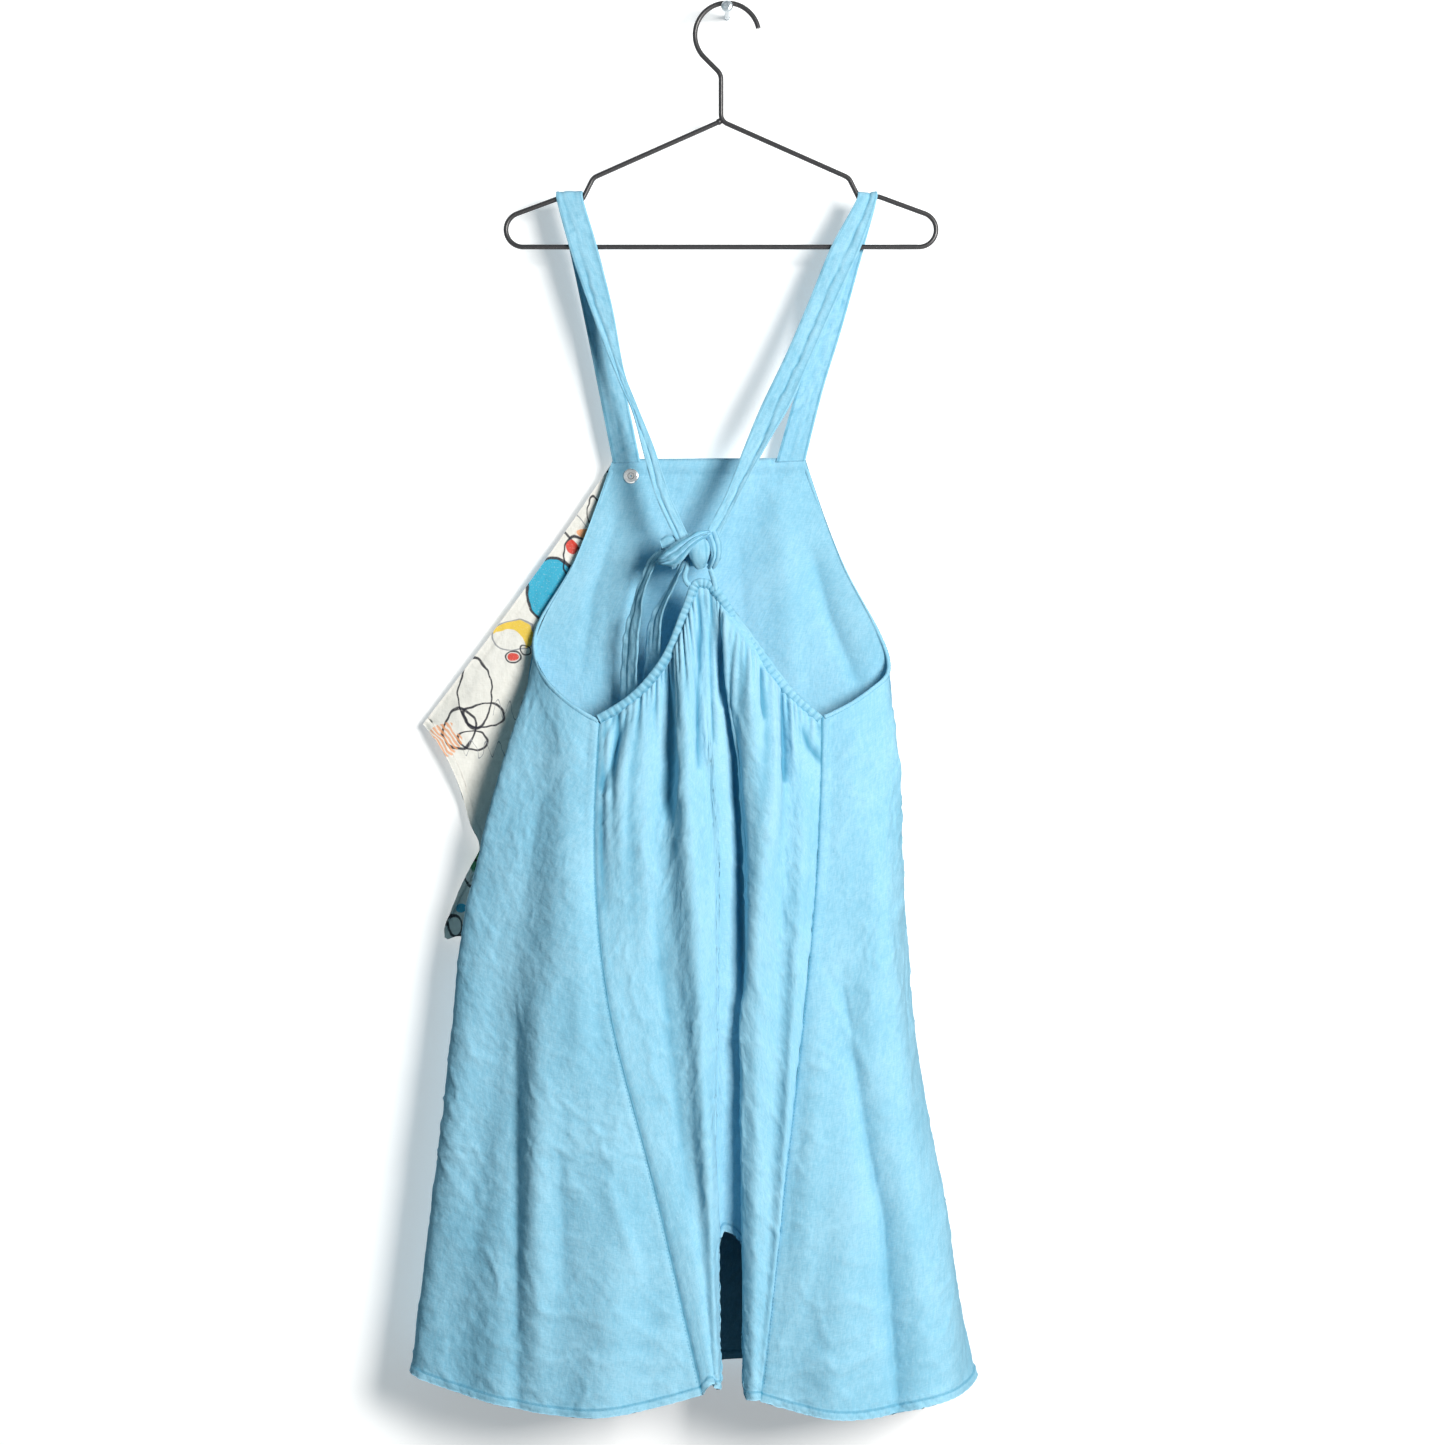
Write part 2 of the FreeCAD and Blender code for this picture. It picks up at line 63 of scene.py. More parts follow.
def spline(points, shares):
    """Points on a smooth curve through the given ones, at shares of its length.
    Numbers after the first three of each point go along with it."""
    knots = np.asarray(points, float)
    gaps = np.sqrt(np.linalg.norm(np.diff(knots[:, :3], axis=0), axis=1)) + 1e-6
    slopes = np.diff(knots, axis=0) / gaps[:, None]
    tangents = np.empty_like(knots)
    if len(knots) > 2:
        before, after = gaps[:-1, None], gaps[1:, None]
        tangents[1:-1] = (slopes[:-1] * after + slopes[1:] * before) / (before + after)
        tangents[0] = 1.5 * slopes[0] - 0.5 * tangents[1]
        tangents[-1] = 1.5 * slopes[-1] - 0.5 * tangents[-2]
    else:
        tangents[:] = slopes[0]
    steps_to_a_knot = 16
    step = np.arange(steps_to_a_knot)[:, None] / steps_to_a_knot
    pieces = []
    for i, gap in enumerate(gaps):
        pieces.append((2 * step**3 - 3 * step**2 + 1) * knots[i]
                      + (step**3 - 2 * step**2 + step) * gap * tangents[i]
                      + (3 * step**2 - 2 * step**3) * knots[i + 1]
                      + (step**3 - step**2) * gap * tangents[i + 1])
    dense = np.vstack(pieces + [knots[-1:]])
    place = run_along(dense[:, :3])
    wanted = np.asarray(shares) * place[-1]
    return np.stack([np.interp(wanted, place, column) for column in dense.T], axis=1)


def shares(length, pitch, hem=0.0, hem_pitch=1.2):
    """Even shares of a length, with closer ones over a hem at its end."""
    body = np.arange(0, length - hem, pitch)
    end = np.linspace(length - hem, length, int(round(hem / hem_pitch)) + 1) if hem else [length]
    return np.concatenate([body, end]) / length


def rail_grid(rails, row_shares, columns):
    """Rows x columns x 3 points: each rail runs down the cloth, and the columns cross them."""
    sampled = np.stack([spline(rail, row_shares) for rail in rails], axis=1)
    across = np.linspace(0, 1, columns)
    return np.stack([spline(row, across) for row in sampled])


def grid_normals(grid):
    return unit(np.cross(np.gradient(grid, axis=0), np.gradient(grid, axis=1)))


def metric(grid):
    """How far each point is across the cloth from its first column, and down from its top."""
    steps = [np.diff(grid, axis=axis, prepend=np.take(grid, [0], axis)) for axis in (1, 0)]
    return [np.cumsum(np.linalg.norm(step, axis=2), axis=axis) for step, axis in zip(steps, (1, 0))]


def noise(x, y, seed):
    """Smooth value noise from -1 to 1 on a unit lattice."""
    size = 64
    table = np.random.default_rng(seed).uniform(-1, 1, (size, size))
    column, row = np.floor(x).astype(int), np.floor(y).astype(int)
    fx, fy = x - column, y - row
    fx, fy = fx**3 * (fx * (fx * 6 - 15) + 10), fy**3 * (fy * (fy * 6 - 15) + 10)
    value = [[table[(row + j) % size, (column + i) % size] for i in (0, 1)] for j in (0, 1)]
    upper = value[0][0] * (1 - fx) + value[0][1] * fx
    lower = value[1][0] * (1 - fx) + value[1][1] * fx
    return upper * (1 - fy) + lower * fy


def smoothstep(value, low, high):
    share = np.clip((value - low) / (high - low), 0, 1)
    return share * share * (3 - 2 * share)


def line_distance(x, z, line):
    """Distance in the front view to a line of points, and how far along it the nearest one is."""
    points = np.asarray(line, float)
    best, along = np.full(x.shape, 1e9), np.zeros(x.shape)
    places = run_along(points)
    for start, end, done, place in zip(points, points[1:], places, places[1:]):
        length = place - done
        direction = (end - start) / length
        share = np.clip((x - start[0]) * direction[0] + (z - start[1]) * direction[1], 0, length)
        gap = np.hypot(x - start[0] - share * direction[0], z - start[1] - share * direction[1])
        nearer = gap < best
        best = np.where(nearer, gap, best)
        along = np.where(nearer, (done + share) / places[-1], along)
    return best, along


def folds(grid, marks):
    """Height of the listed folds.  Each mark is (line in the front view, height, half width)."""
    x, z = grid[..., 0], grid[..., 2]
    height = np.zeros(x.shape)
    for line, size, width in marks:
        gap, along = line_distance(x, z, line)
        fade = np.sin(np.pi * np.clip(along, 0.001, 0.999)) ** 0.5
        sharpness = 2.0 if size > 0 else 1.35
        height += size * fade * np.exp(-((gap / width) ** sharpness))
    return height


def crumple(across, down, seed):
    """Soft wrinkles of washed double cloth, in millimetres."""
    bend = 6 * noise(across / 40, down / 55, seed)
    a, d = across + bend, down + 6 * noise(across / 50 + 9, down / 45, seed + 1)
    drape = noise(a / 26, d / 190, seed + 2)

    def ridges(x, y, number, sharpness=4.2):
        """Narrow creases along the lines where the noise changes sign."""
        return np.clip(1 - sharpness * np.abs(noise(x, y, seed + number)), 0, 1) ** 1.2

    slant = ridges((a + 0.7 * d) / 40, (d - 0.7 * a) / 24, 3)
    other = ridges((a - 0.5 * d) / 36, (d + 0.5 * a) / 20, 4)
    cross = ridges(a / 45, d / 13, 7)
    nick = ridges((a + 0.3 * d) / 17, (d - 0.3 * a) / 11, 8)
    small = noise(a / 8, d / 11, seed + 5)
    fine = noise(a / 3.8, d / 4.8, seed + 6)
    patchy = 0.45 + 0.55 * smoothstep(noise(a / 60, d / 70, seed + 9), -0.5, 0.5)
    sharp = 0.95 * slant + 0.85 * other + 0.55 * cross + 0.40 * nick
    return 1.6 * drape + patchy * sharp + 0.20 * small + 0.10 * fine


def bell(gap, width, power=2):
    """1 where there is no gap, and near 0 from twice the width on."""
    return np.exp(-(np.abs(gap / width) ** power))


def gathers(along, down, length, seed):
    """Ribs below a gathered edge: each starts at its own place and runs its own way down."""
    rng = np.random.default_rng(seed)
    height = np.zeros(np.broadcast(along, down).shape)
    centre = 2.0
    while centre < length - 2:
        reach = float(rng.choice([14, 22, 34, 60, 110], p=[0.24, 0.26, 0.24, 0.16, 0.10]))
        reach *= rng.uniform(0.8, 1.25)
        spacing = rng.uniform(4.8, 8.6)
        width = 0.27 * spacing + 0.022 * reach
        drift = rng.normal(0, 0.05)
        size = rng.uniform(2.8, 4.4) + 0.016 * reach
        middle = centre + drift * down
        spread = width * (1 + down / (2.0 * reach))
        height += size * bell(along - middle, spread) * bell(down, reach, 1.5)
        centre += spacing
    return height - 1.6 * np.exp(-down / 30)


def smoothed(values, reach):
    """Mean over a square of grid points on each side of a point."""
    padded = np.pad(values, reach, mode="edge")
    window = 2 * reach + 1
    for axis in (0, 1):
        total = np.insert(np.cumsum(padded, axis=axis), 0, 0, axis=axis)
        padded = (np.take(total, range(window, total.shape[axis]), axis=axis)
                  - np.take(total, range(total.shape[axis] - window), axis=axis)) / window
    return padded


def hollows(height, reach=5, depth=1.6):
    """How far a point lies below its surroundings, 1 for depth; negative on a crest."""
    return np.clip((smoothed(height, reach) - height) / depth, -1, 1)


# == Meshes ==


def placed(name, data):
    obj = bpy.data.objects.new(name, data)
    bpy.context.scene.collection.objects.link(obj)
    return obj


def make_object(name, vertices, faces, uvs, attributes=None, material=None, body="garment"):
    """A smooth mesh in metres from millimetre vertices, of blue linen if no material is given.
    uvs holds one pair, and each attribute one number, for each vertex."""
    mesh = bpy.data.meshes.new(name)
    mesh.from_pydata((np.asarray(vertices, float) * MM).tolist(), [], faces)
    mesh.update()
    layer = mesh.uv_layers.new(name="UVMap")
    corner = np.zeros(len(mesh.loops), int)
    mesh.loops.foreach_get("vertex_index", corner)
    layer.data.foreach_set("uv", (np.asarray(uvs, float)[corner] * MM).ravel())
    for key, values in (attributes or {}).items():
        mesh.attributes.new(key, "FLOAT", "POINT").data.foreach_set("value", np.ravel(values))
    mesh.polygons.foreach_set("use_smooth", [True] * len(mesh.polygons))
    mesh.materials.append(material or blue_linen)
    obj = placed(name, mesh)
    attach(obj, body)
    return obj


def claimed(piece, *stands_for):
    """A piece of blue cloth, with the CAD nodes that it takes the place of."""
    if stands_for:
        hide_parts(*stands_for)
    return piece


def grid_faces(rows, columns, start=0, flip=False):
    faces = []
    for row in range(rows - 1):
        for column in range(columns - 1):
            a = start + row * columns + column
            quad = (a, a + 1, a + columns + 1, a + columns)
            faces.append(quad[::-1] if flip else quad)
    return faces


def ring_faces(rings, sides, start=0, flip=False):
    """Faces round a row of rings, and one over each end."""
    faces = []
    for first in range(start, start + (rings - 1) * sides, sides):
        for k in range(sides):
            a, b = first + k, first + (k + 1) % sides
            faces.append((a, a + sides, b + sides, b) if flip else (a, b, b + sides, a + sides))
    top = tuple(range(start, start + sides))
    end = tuple(range(start + (rings - 1) * sides, start + rings * sides))
    return faces + ([top, end[::-1]] if flip else [top[::-1], end])


def closed_sheet(name, grid, thickness, seam, hollow=0.0, uvs=None, material=None, body="garment"):
    """A sheet with two skins and a rim.  thickness, seam and hollow are numbers, or one for each
    grid point."""
    rows, columns = grid.shape[:2]
    thick, marks, dips = (np.broadcast_to(values, (rows, columns)) for values in (thickness, seam, hollow))
    offset = grid_normals(grid) * thick[..., None] / 2
    count = rows * columns
    # a normal is row direction x column direction, so the outer skin's quads run the other way
    faces = grid_faces(rows, columns, 0, flip=True) + grid_faces(rows, columns, count)
    rim = [row * columns for row in range(rows)]
    rim += [(rows - 1) * columns + column for column in range(1, columns)]
    rim += [row * columns + columns - 1 for row in range(rows - 2, -1, -1)]
    rim += list(range(columns - 2, 0, -1))
    faces += [(a, b, b + count, a + count) for a, b in zip(rim, rim[1:] + rim[:1])]
    flat = np.stack(np.broadcast_arrays(*(uvs or metric(grid))), axis=-1).reshape(-1, 2)
    skins = np.stack([grid + offset, grid - offset]).reshape(-1, 3)
    return make_object(name, skins, faces, np.vstack([flat, flat]),
                       {"seam": np.stack([marks, marks]), "hollow": np.stack([dips, -dips])}, material, body)


def tube(name, path, half_width, half_thickness, sides, swell):
    """A flattened tube along points.  swell(run, angles) is how much each ring grows."""
    guide = np.array([0.0, -1.0, 0.0])
    angles = np.linspace(0, 2 * np.pi, sides, endpoint=False)[:, None]
    rings, uvs = [], []
    for centre, tangent, run in zip(path, unit(np.gradient(path, axis=0)), run_along(path)):
        across = unit(np.cross(tangent, guide))
        guide = np.cross(across, tangent)
        ring = across * np.cos(angles) * half_width + guide * np.sin(angles) * half_thickness
        rings.append(centre + ring * swell(run, angles))
        uvs += [(angle * half_width, run) for angle in angles[:, 0]]
    return make_object(name, np.vstack(rings), ring_faces(len(path), sides), uvs)


def stitches(name, line, normals, lift, pitch=2.9, length=2.0):
    """A row of sewn stitches: a small rounded bar for each, half sunk in the cloth."""
    run = run_along(line)
    radius, sides = 0.22, 6
    # share of the length, share of the radius, and height in radii
    rings = ((0, 0.15, -0.6), (0.18, 0.9, 0.3), (0.5, 1.0, 0.5), (0.82, 0.9, 0.3), (1, 0.15, -0.6))
    turns = np.arange(sides)[:, None] * 2 * np.pi / sides
    vertices, faces, uvs = [], [], []

    def at(values, place):
        return np.array([np.interp(place, run, column) for column in values.T])

    for start in np.arange(pitch / 2, run[-1] - length, pitch):
        first, normal = at(line, start), unit(at(normals, start + length / 2))
        along = at(line, start + length) - first
        side = np.cross(normal, unit(along))
        faces += ring_faces(len(rings), sides, len(vertices))
        for share, grow, rise in rings:
            centre = first + along * share + normal * (lift + radius * rise)
            vertices.extend(centre + (side * np.cos(turns) + normal * np.sin(turns)) * radius * grow)
            uvs += [(k, share * length) for k in range(sides)]
    return claimed(make_object(name, vertices, faces, uvs, material=blue_thread))


# == Materials ==


class Value:
    """What a node gives.  Signs and calls on it add the next node to its shader."""

    def __init__(self, shader, socket):
        self.shader, self.socket = shader, socket

    def math(self, operation, other=0.0, clamp=False):
        return self.shader.out("ShaderNodeMath", {0: self, 1: other}, operation=operation, use_clamp=clamp)

    def __mul__(self, other):
        return self.math("MULTIPLY", other)

    def __add__(self, other):
        return self.math("ADD", other)

    def __sub__(self, other):
        return self.math("SUBTRACT", other)

    def __rsub__(self, other):
        return self.shader.out("ShaderNodeMath", {0: other, 1: self}, operation="SUBTRACT")

    def __abs__(self):
        return self.math("ABSOLUTE")

    def clamped(self, factor):
        """factor times it, held from 0 to 1."""
        return self.math("MULTIPLY", factor, True)

    def vector(self, operation, other=(0, 0, 0), output=0):
        return self.shader.out("ShaderNodeVectorMath", {0: self, 1: other}, output, operation=operation)

    def scaled(self, x, y, z=1.0):
        return self.vector("MULTIPLY", (x, y, z))

    def axes(self):
        split = self.shader.node("ShaderNodeSeparateXYZ", {0: self})
        return [Value(self.shader, socket) for socket in split.outputs]

    def noise(self, scale, detail=2.0, roughness=0.5, output="Fac"):
        return self.shader.out("ShaderNodeTexNoise", {"Vector": self, "Scale": scale, "Detail": detail,
                                                      "Roughness": roughness}, output)

    def ramp(self, low, high):
        """From low to high it becomes 0 to 1, smoothly."""
        return self.shader.out("ShaderNodeMapRange", {"Value": self, "From Min": low, "From Max": high},
                               "Result", interpolation_type="SMOOTHSTEP")

    def mix(self, first, second):
        """first where it is 0, second where it is 1."""
        pair = [end if isinstance(end, Value) else (*end, 1) for end in (first, second)]
        return self.shader.out("ShaderNodeMix", {0: self, 6: pair[0], 7: pair[1]}, 2, data_type="RGBA")


class Shader:
    """The nodes of a new material, or of a new world, with short calls to add to them."""

    def __init__(self, name, kept_in=bpy.data.materials):
        self.owner = kept_in.new(name)
        self.owner.use_nodes = True
        self.tree = self.owner.node_tree
        self.surface = next(n for n in self.tree.nodes if n.type in ("BSDF_PRINCIPLED", "BACKGROUND"))

    def node(self, kind, inputs=None, **settings):
        made = self.tree.nodes.new(kind)
        for key, value in settings.items():
            setattr(made, key, value)
        for key, value in (inputs or {}).items():
            self.feed(made.inputs[key], value)
        return made

    def out(self, kind, inputs=None, output=0, **settings):
        return Value(self, self.node(kind, inputs, **settings).outputs[output])

    def feed(self, socket, value):
        if isinstance(value, Value):
            self.tree.links.new(value.socket, socket)
        else:
            socket.default_value = value

    def set(self, **sockets):
        for key, value in sockets.items():
            self.feed(self.surface.inputs[key.replace("_", " ")], value)

    def uv(self):
        return self.out("ShaderNodeUVMap", uv_map="UVMap")

    def place(self):
        return self.out("ShaderNodeTexCoord", output="Object")

    def bump(self, height, distance, strength, before=None):
        inputs = {"Height": height, "Distance": distance, "Strength": strength}
        return self.out("ShaderNodeBump", inputs | ({"Normal": before} if before else {}), "Normal")


def weave(uv, pitch):
    """Height of a plain weave: threads both ways, over and under in turn."""
    waves = [(axis * (math.pi / pitch)).math("SINE") for axis in uv.axes()[:2]]
    over = waves[0] * waves[1]
    return abs(waves[0]) * (over * 0.5 + 0.5) + abs(waves[1]) * (over * -0.5 + 0.5)


def linen(name, colour, shade, painted_shade, sheen, pitch=0.00055, slub=0.10):
    """Washed linen-like cloth: uneven yarns both ways, soft clouds of dye, lighter wear along edges, painted
    shade along sewn lines and in hollows, and painted light on crests.
    """
    shader = Shader(name)
    uv = shader.uv()
    bent = uv.vector("ADD", uv.noise(60.0, output="Color").vector("MULTIPLY", (0.0012,) * 3))
    warp = bent.scaled(1100, 210).noise(1.0, 3.0, 0.6)
    weft = bent.scaled(190, 1200).noise(1.0, 3.0, 0.6)
    coarse = bent.scaled(420, 90).noise(1.0)
    yarns = warp * 0.4 + weft * 0.35 + coarse * 0.25
    tone = (yarns * 0.7 + uv.noise(14.0, 4.0, 0.55) * 0.3).ramp(0.5 - slub, 0.5 + slub)
    seam, hollow = (shader.out("ShaderNodeAttribute", output="Fac", attribute_name=key)
                    for key in ("seam", "hollow"))
    light = [min(1.0, c * 0.8 + 0.2) for c in colour]
    cloth = tone.mix(shade, colour)
    # seam marks: lighter with wear, and painted shade along sunk seams and stitch lines; hollow marks:
    # painted shade in hollows and painted light on crests
    for where, factor, tint in ((seam, 0.35, light), (seam, -0.7, painted_shade), (hollow, 0.75, painted_shade),
                                (hollow, -0.30, light)):
        cloth = where.clamped(factor).mix(cloth, tint)
    threads = shader.bump(weave(bent, pitch), 0.00006, 0.6)
    rumpled = shader.bump(uv.noise(130.0), 0.0016, 0.5, threads)
    shader.set(Base_Color=cloth, Roughness=yarns * 0.12 + 0.80, Specular_IOR_Level=0.08,
               Normal=shader.bump(yarns, 0.0004, 0.6, rumpled), Sheen_Weight=sheen,
               Sheen_Roughness=0.45, Sheen_Tint=(0.75, 0.9, 1.0, 1.0))
    return shader


def metal(name, colour, roughness, grain, metallic=1.0, coat=0.0, speck=0.0):
    """Metal or paint with fine unevenness in its tone and surface."""
    shader = Shader(name)
    place = shader.place()
    fine = place.noise(900.0, 3.0)
    tone = place.noise(60.0, 3.0).mix([c * 0.82 for c in colour], [min(1, c * 1.1) for c in colour])
    if speck:
        tone = (place.noise(1500.0, 1.0).ramp(0.68, 0.74) * speck).mix(tone, (0.35, 0.33, 0.32))
    shader.set(Base_Color=tone, Roughness=fine * 0.18 + (roughness - 0.09),
               Normal=shader.bump(fine, grain, 0.5), Metallic=metallic, Coat_Weight=coat, Coat_Roughness=0.2)
    return shader.owner


# the third colour is painted shade, laid in hollows and along sunk seams and stitch lines
SKY, SKY_SHADE, SKY_PAINTED_SHADE = (0.355, 0.660, 0.825), (0.250, 0.560, 0.735), (0.035, 0.250, 0.400)
blue_linen = linen("blue_linen", SKY, SKY_SHADE, SKY_PAINTED_SHADE, 0.08).owner
thread = Shader("blue_thread")
twist = thread.uv().scaled(900, 4000).noise(1.0)
thread.set(Base_Color=twist.mix((0.08, 0.33, 0.50), (0.16, 0.48, 0.66)), Roughness=0.65, Sheen_Weight=0.2)
blue_thread = thread.owner
black_wire = metal("black_powder_coat", (0.022, 0.020, 0.022), 0.36, 0.00003, 0.0, 0.25, 0.5)
zinc = metal("zinc_screw", (0.55, 0.60, 0.63), 0.30, 0.00002)
nickel = metal("nickel_stud", (0.74, 0.73, 0.72), 0.22, 0.00001)

# == Garment lines, in millimetres: a rail runs down the cloth from its top edge to its hem ==

FRONT = -19.0
LEFT_EDGE = [(-91.8, FRONT, -359.4), (-122.4, FRONT, -441), (-154.5, FRONT, -507), (-167, FRONT, -640),
    (-190, FRONT, -800), (-222, FRONT - 2, -1082)]
RIGHT_EDGE = [(62.8, FRONT, -358.6), (91.8, FRONT, -441), (128.8, FRONT, -521), (133, FRONT, -640),
    (148, FRONT, -800), (182, FRONT - 2, -1082)]
LEFT_SEAM = [(-100.7, -60, -569.6), (-104, -77, -680), (-93, -96, -790), (-55, -105, -940),
    (-19, -110, -1094)]
RIGHT_SEAM = [(75.4, -60, -566.5), (71, -78, -680), (60, -95, -800), (43, -106, -943), (26, -110, -1099)]
LEFT_SIDE = [
    LEFT_EDGE[2:],
    [(-151.5, -34, -523), (-178, -44, -601), (-209, -48, -735), (-217, -51, -824), (-230, -55, -952),
     (-245.5, -60, -1087)],
    [(-140.7, -48, -540), (-152, -60, -650), (-172, -71, -800), (-186, -83, -950), (-190, -93, -1102)],
    [(-122, -56, -557), (-127, -75, -660), (-131, -94, -800), (-123, -108, -950), (-104, -118, -1110)],
    LEFT_SEAM]
RIGHT_SIDE = [
    RIGHT_SEAM,
    [(97, -55, -556), (103, -76, -660), (103, -95, -800), (98, -109, -950), (94, -118, -1112)],
    [(114.5, -46, -544), (125, -66, -650), (134, -86, -800), (148, -99, -950), (160, -109, -1102)],
    [(127, -34, -533), (137, -42, -601), (140.5, -47, -697), (143.5, -50, -785), (158, -54, -888),
     (171, -57, -952), (198.5, -62, -1092)],
    RIGHT_EDGE[2:]]
BACK = [
    LEFT_SEAM,
    [(-69, -62, -548), (-78, -82, -672), (-68, -97, -788), (-46, -104, -889), (-27, -109, -982),
     (-12.5, -111, -1086)],
    [(-48, -61, -524), (-47, -73, -621), (-45, -88, -711), (-34, -99, -827), (-23.5, -105, -943),
     (-10, -109, -1088)],
    [(-36, -63, -494), (-32, -86, -617), (-26, -100, -710), (-20, -107, -826), (-14, -110, -943),
     (-8, -109, -1090)],
    [(-25, -61, -463), (-17, -78, -601), (-11, -92, -703), (-10, -99, -827), (-9.4, -102, -944),
     (-6.3, -103, -1089)],
    [(-18, -60, -460), (-9, -73, -570), (-4, -85, -704), (-4, -91, -831), (-3.2, -86, -971)],
    [(-11, -60, -461), (1.5, -70, -570), (10, -79, -665), (12.6, -88, -792), (13, -85, -983)],
    [(-3, -61, -472), (7, -81, -598), (11, -92, -664), (12.4, -103, -788), (13, -106, -943),
     (14.7, -107, -1097)],
    [(9, -63, -486), (22.7, -89, -598), (23.3, -103, -710), (22.4, -109, -826), (21.6, -112, -942),
     (20, -112, -1098)],
    [(34, -61, -520), (44, -78, -609), (43, -94, -710), (37, -105, -866), (30, -109, -1021),
     (23, -110, -1098)],
    [(54, -61, -546), (61, -82, -633), (58.5, -96, -710), (50, -106, -827), (38, -110, -982),
     (25.5, -110, -1098)],
    RIGHT_SEAM]
NECKLINE = [(-103.7, -60, -565.7), (-75.4, -62, -547.5), (-51.4, -63, -518), (-36, -62, -481),
    (-26, -60, -458.6), (-12, -60, -459.4), (13.4, -62, -494.6), (48, -62.5, -541.2), (76, -60, -566.5)]
ARMHOLE_LEFT = [*LEFT_EDGE[:2], (-150.6, FRONT - 1, -491), (-154.5, FRONT - 4, -507),
    *[rail[0] for rail in LEFT_SIDE[1:4]], (-101.5, -60, -569)]
ARMHOLE_RIGHT = [*RIGHT_EDGE[:2], (121, FRONT - 1, -499), (128.8, FRONT - 4, -521),
    *[rail[0] for rail in RIGHT_SIDE[3:0:-1]], (76.5, -60, -566)]

# Folds in the front view (X, Z): line, height towards the outside, half width
BACK_FOLDS = [
    ([(-78, -560), (-90, -596), (-99, -628)], -7, 6),
    ([(-86, -556), (-97, -585)], -4, 3.5),
    ([(-48, -515), (-47, -570), (-47, -650)], -8, 6.5),
    ([(-62, -560), (-66, -640), (-60, -760)], 3.5, 10),
    ([(-34, -500), (-33, -600), (-29, -720)], 3, 8),
    ([(-21, -468), (-22, -530), (-22, -610)], -7, 3.8),
    ([(-13, -466), (-12, -520), (-11, -590)], -6, 3.4),
    ([(-5, -500), (-4, -560)], -5, 3.2),
    ([(-5, -505), (-1, -547), (5.5, -598), (9.8, -664), (11.8, -790)], -8, 4),
    ([(-97, -600), (-99, -660), (-98, -720)], -3, 4),
    ([(26, -520), (28, -570)], -4, 3.2),
    ([(43, -540), (44, -575), (45, -620)], -7, 5),
    ([(34, -560), (35, -640), (33, -760)], 2.5, 9),
    ([(58, -572), (66, -590), (76, -606)], -3.5, 3.5),
    ([(-60, -700), (-40, -850), (-28, -960)], -2.5, 9),
    ([(50, -700), (44, -840), (34, -960)], -2, 8)]
LEFT_FOLDS = [
    ([(-167, -800), (-166, -960), (-163, -1130)], -8, 11),
    ([(-150, -760), (-147, -930), (-145, -1130)], 4, 12),
    ([(-196, -700), (-205, -860), (-214, -1010)], 3, 14),
    ([(-132, -905), (-128, -1015)], -4, 12),
    ([(-118, -590), (-150, -640), (-160, -720)], -1.6, 10),
    ([(-205, -832), (-181, -840)], 0.9, 3),
    ([(-220, -903), (-182, -912)], 1, 3),
    ([(-96, -920), (-66, -1010)], 1.8, 6),
    ([(-112, -700), (-116, -860)], 2.2, 12)]
FRONT_FOLDS = [
    ([(68, -430), (84, -490), (108, -545)], -4.5, 8),
    ([(40, -380), (50, -480), (52, -600)], 3, 13),
    ([(10, -420), (16, -520), (14, -620)], -2.5, 12),
    ([(-86, -400), (-108, -470), (-118, -540)], -3, 8),
    ([(-66, -400), (-84, -470), (-90, -560)], 2.5, 10)]
RIGHT_FOLDS = [
    ([(90, -765), (110, -900), (123, -960), (136, -1130)], -9, 10),
    ([(90, -803), (112, -848)], 2, 5),
    ([(140, -900), (160, -1080)], 3, 14),
    ([(70, -760), (66, -900), (52, -1040)], 2.5, 12),
    ([(116, -610), (126, -700)], -2, 9)]

STITCH_LINE, BIB_STITCH_LINE = 6.2, 10.2   # above the hem, and below the top of the bib
CASING, BINDING_LEFT, BINDING_RIGHT = (8.0, 4.4), (4.0, 3.0), (4.0, 3.2)   # width and thickness


def hem_band(down, across, seed):
    """Height of a narrow turned hem: a step, a sunk stitch line, and the rope-like ripples that
    a turned hem gets in the wash.  Also its colour mark, lighter with wear at the folded edge and with
    painted shade along the sunk stitch line, and where the cloth is double."""
    up = down[-1:, :] - down
    band = 1 - smoothstep(up, 6.2, 7.8)
    strong = 0.5 + 0.5 * noise(across / 60, 0.0, seed)
    rope = np.sin((across + 1.1 * up) * 2 * np.pi / 7.5 + 2 * noise(across / 11, 0.0, seed + 1))
    groove = bell(up - STITCH_LINE, 1.0)
    height = band * (0.55 + 0.55 * strong * rope) - 0.7 * groove * (1 + 0.4 * rope)
    above = bell(up - 11, 5) * 0.35 * strong * rope
    return height + above, 0.7 * bell(up, 1.2) - 0.9 * groove, 1 - smoothstep(up, 6.5, 7.5)


def seam_groove(gap, along, seed):
    """A pressed seam beside an edge: a groove, a felled band and small puckers, and a mark of painted shade
    along the seam line.
    """
    puckers = np.exp(-gap / 9) * noise(along / 5.5, 3.0, seed) * 0.55
    return 0.4 * bell(gap - 4.5, 3.2, 4) - 0.5 * bell(gap, 1.5) + puckers, -1.2 * bell(gap, 1.2)


def lifted(grid, height):
    return grid + grid_normals(grid) * height[..., None]


# == Back, sides and front: each gives its piece and its surface ==


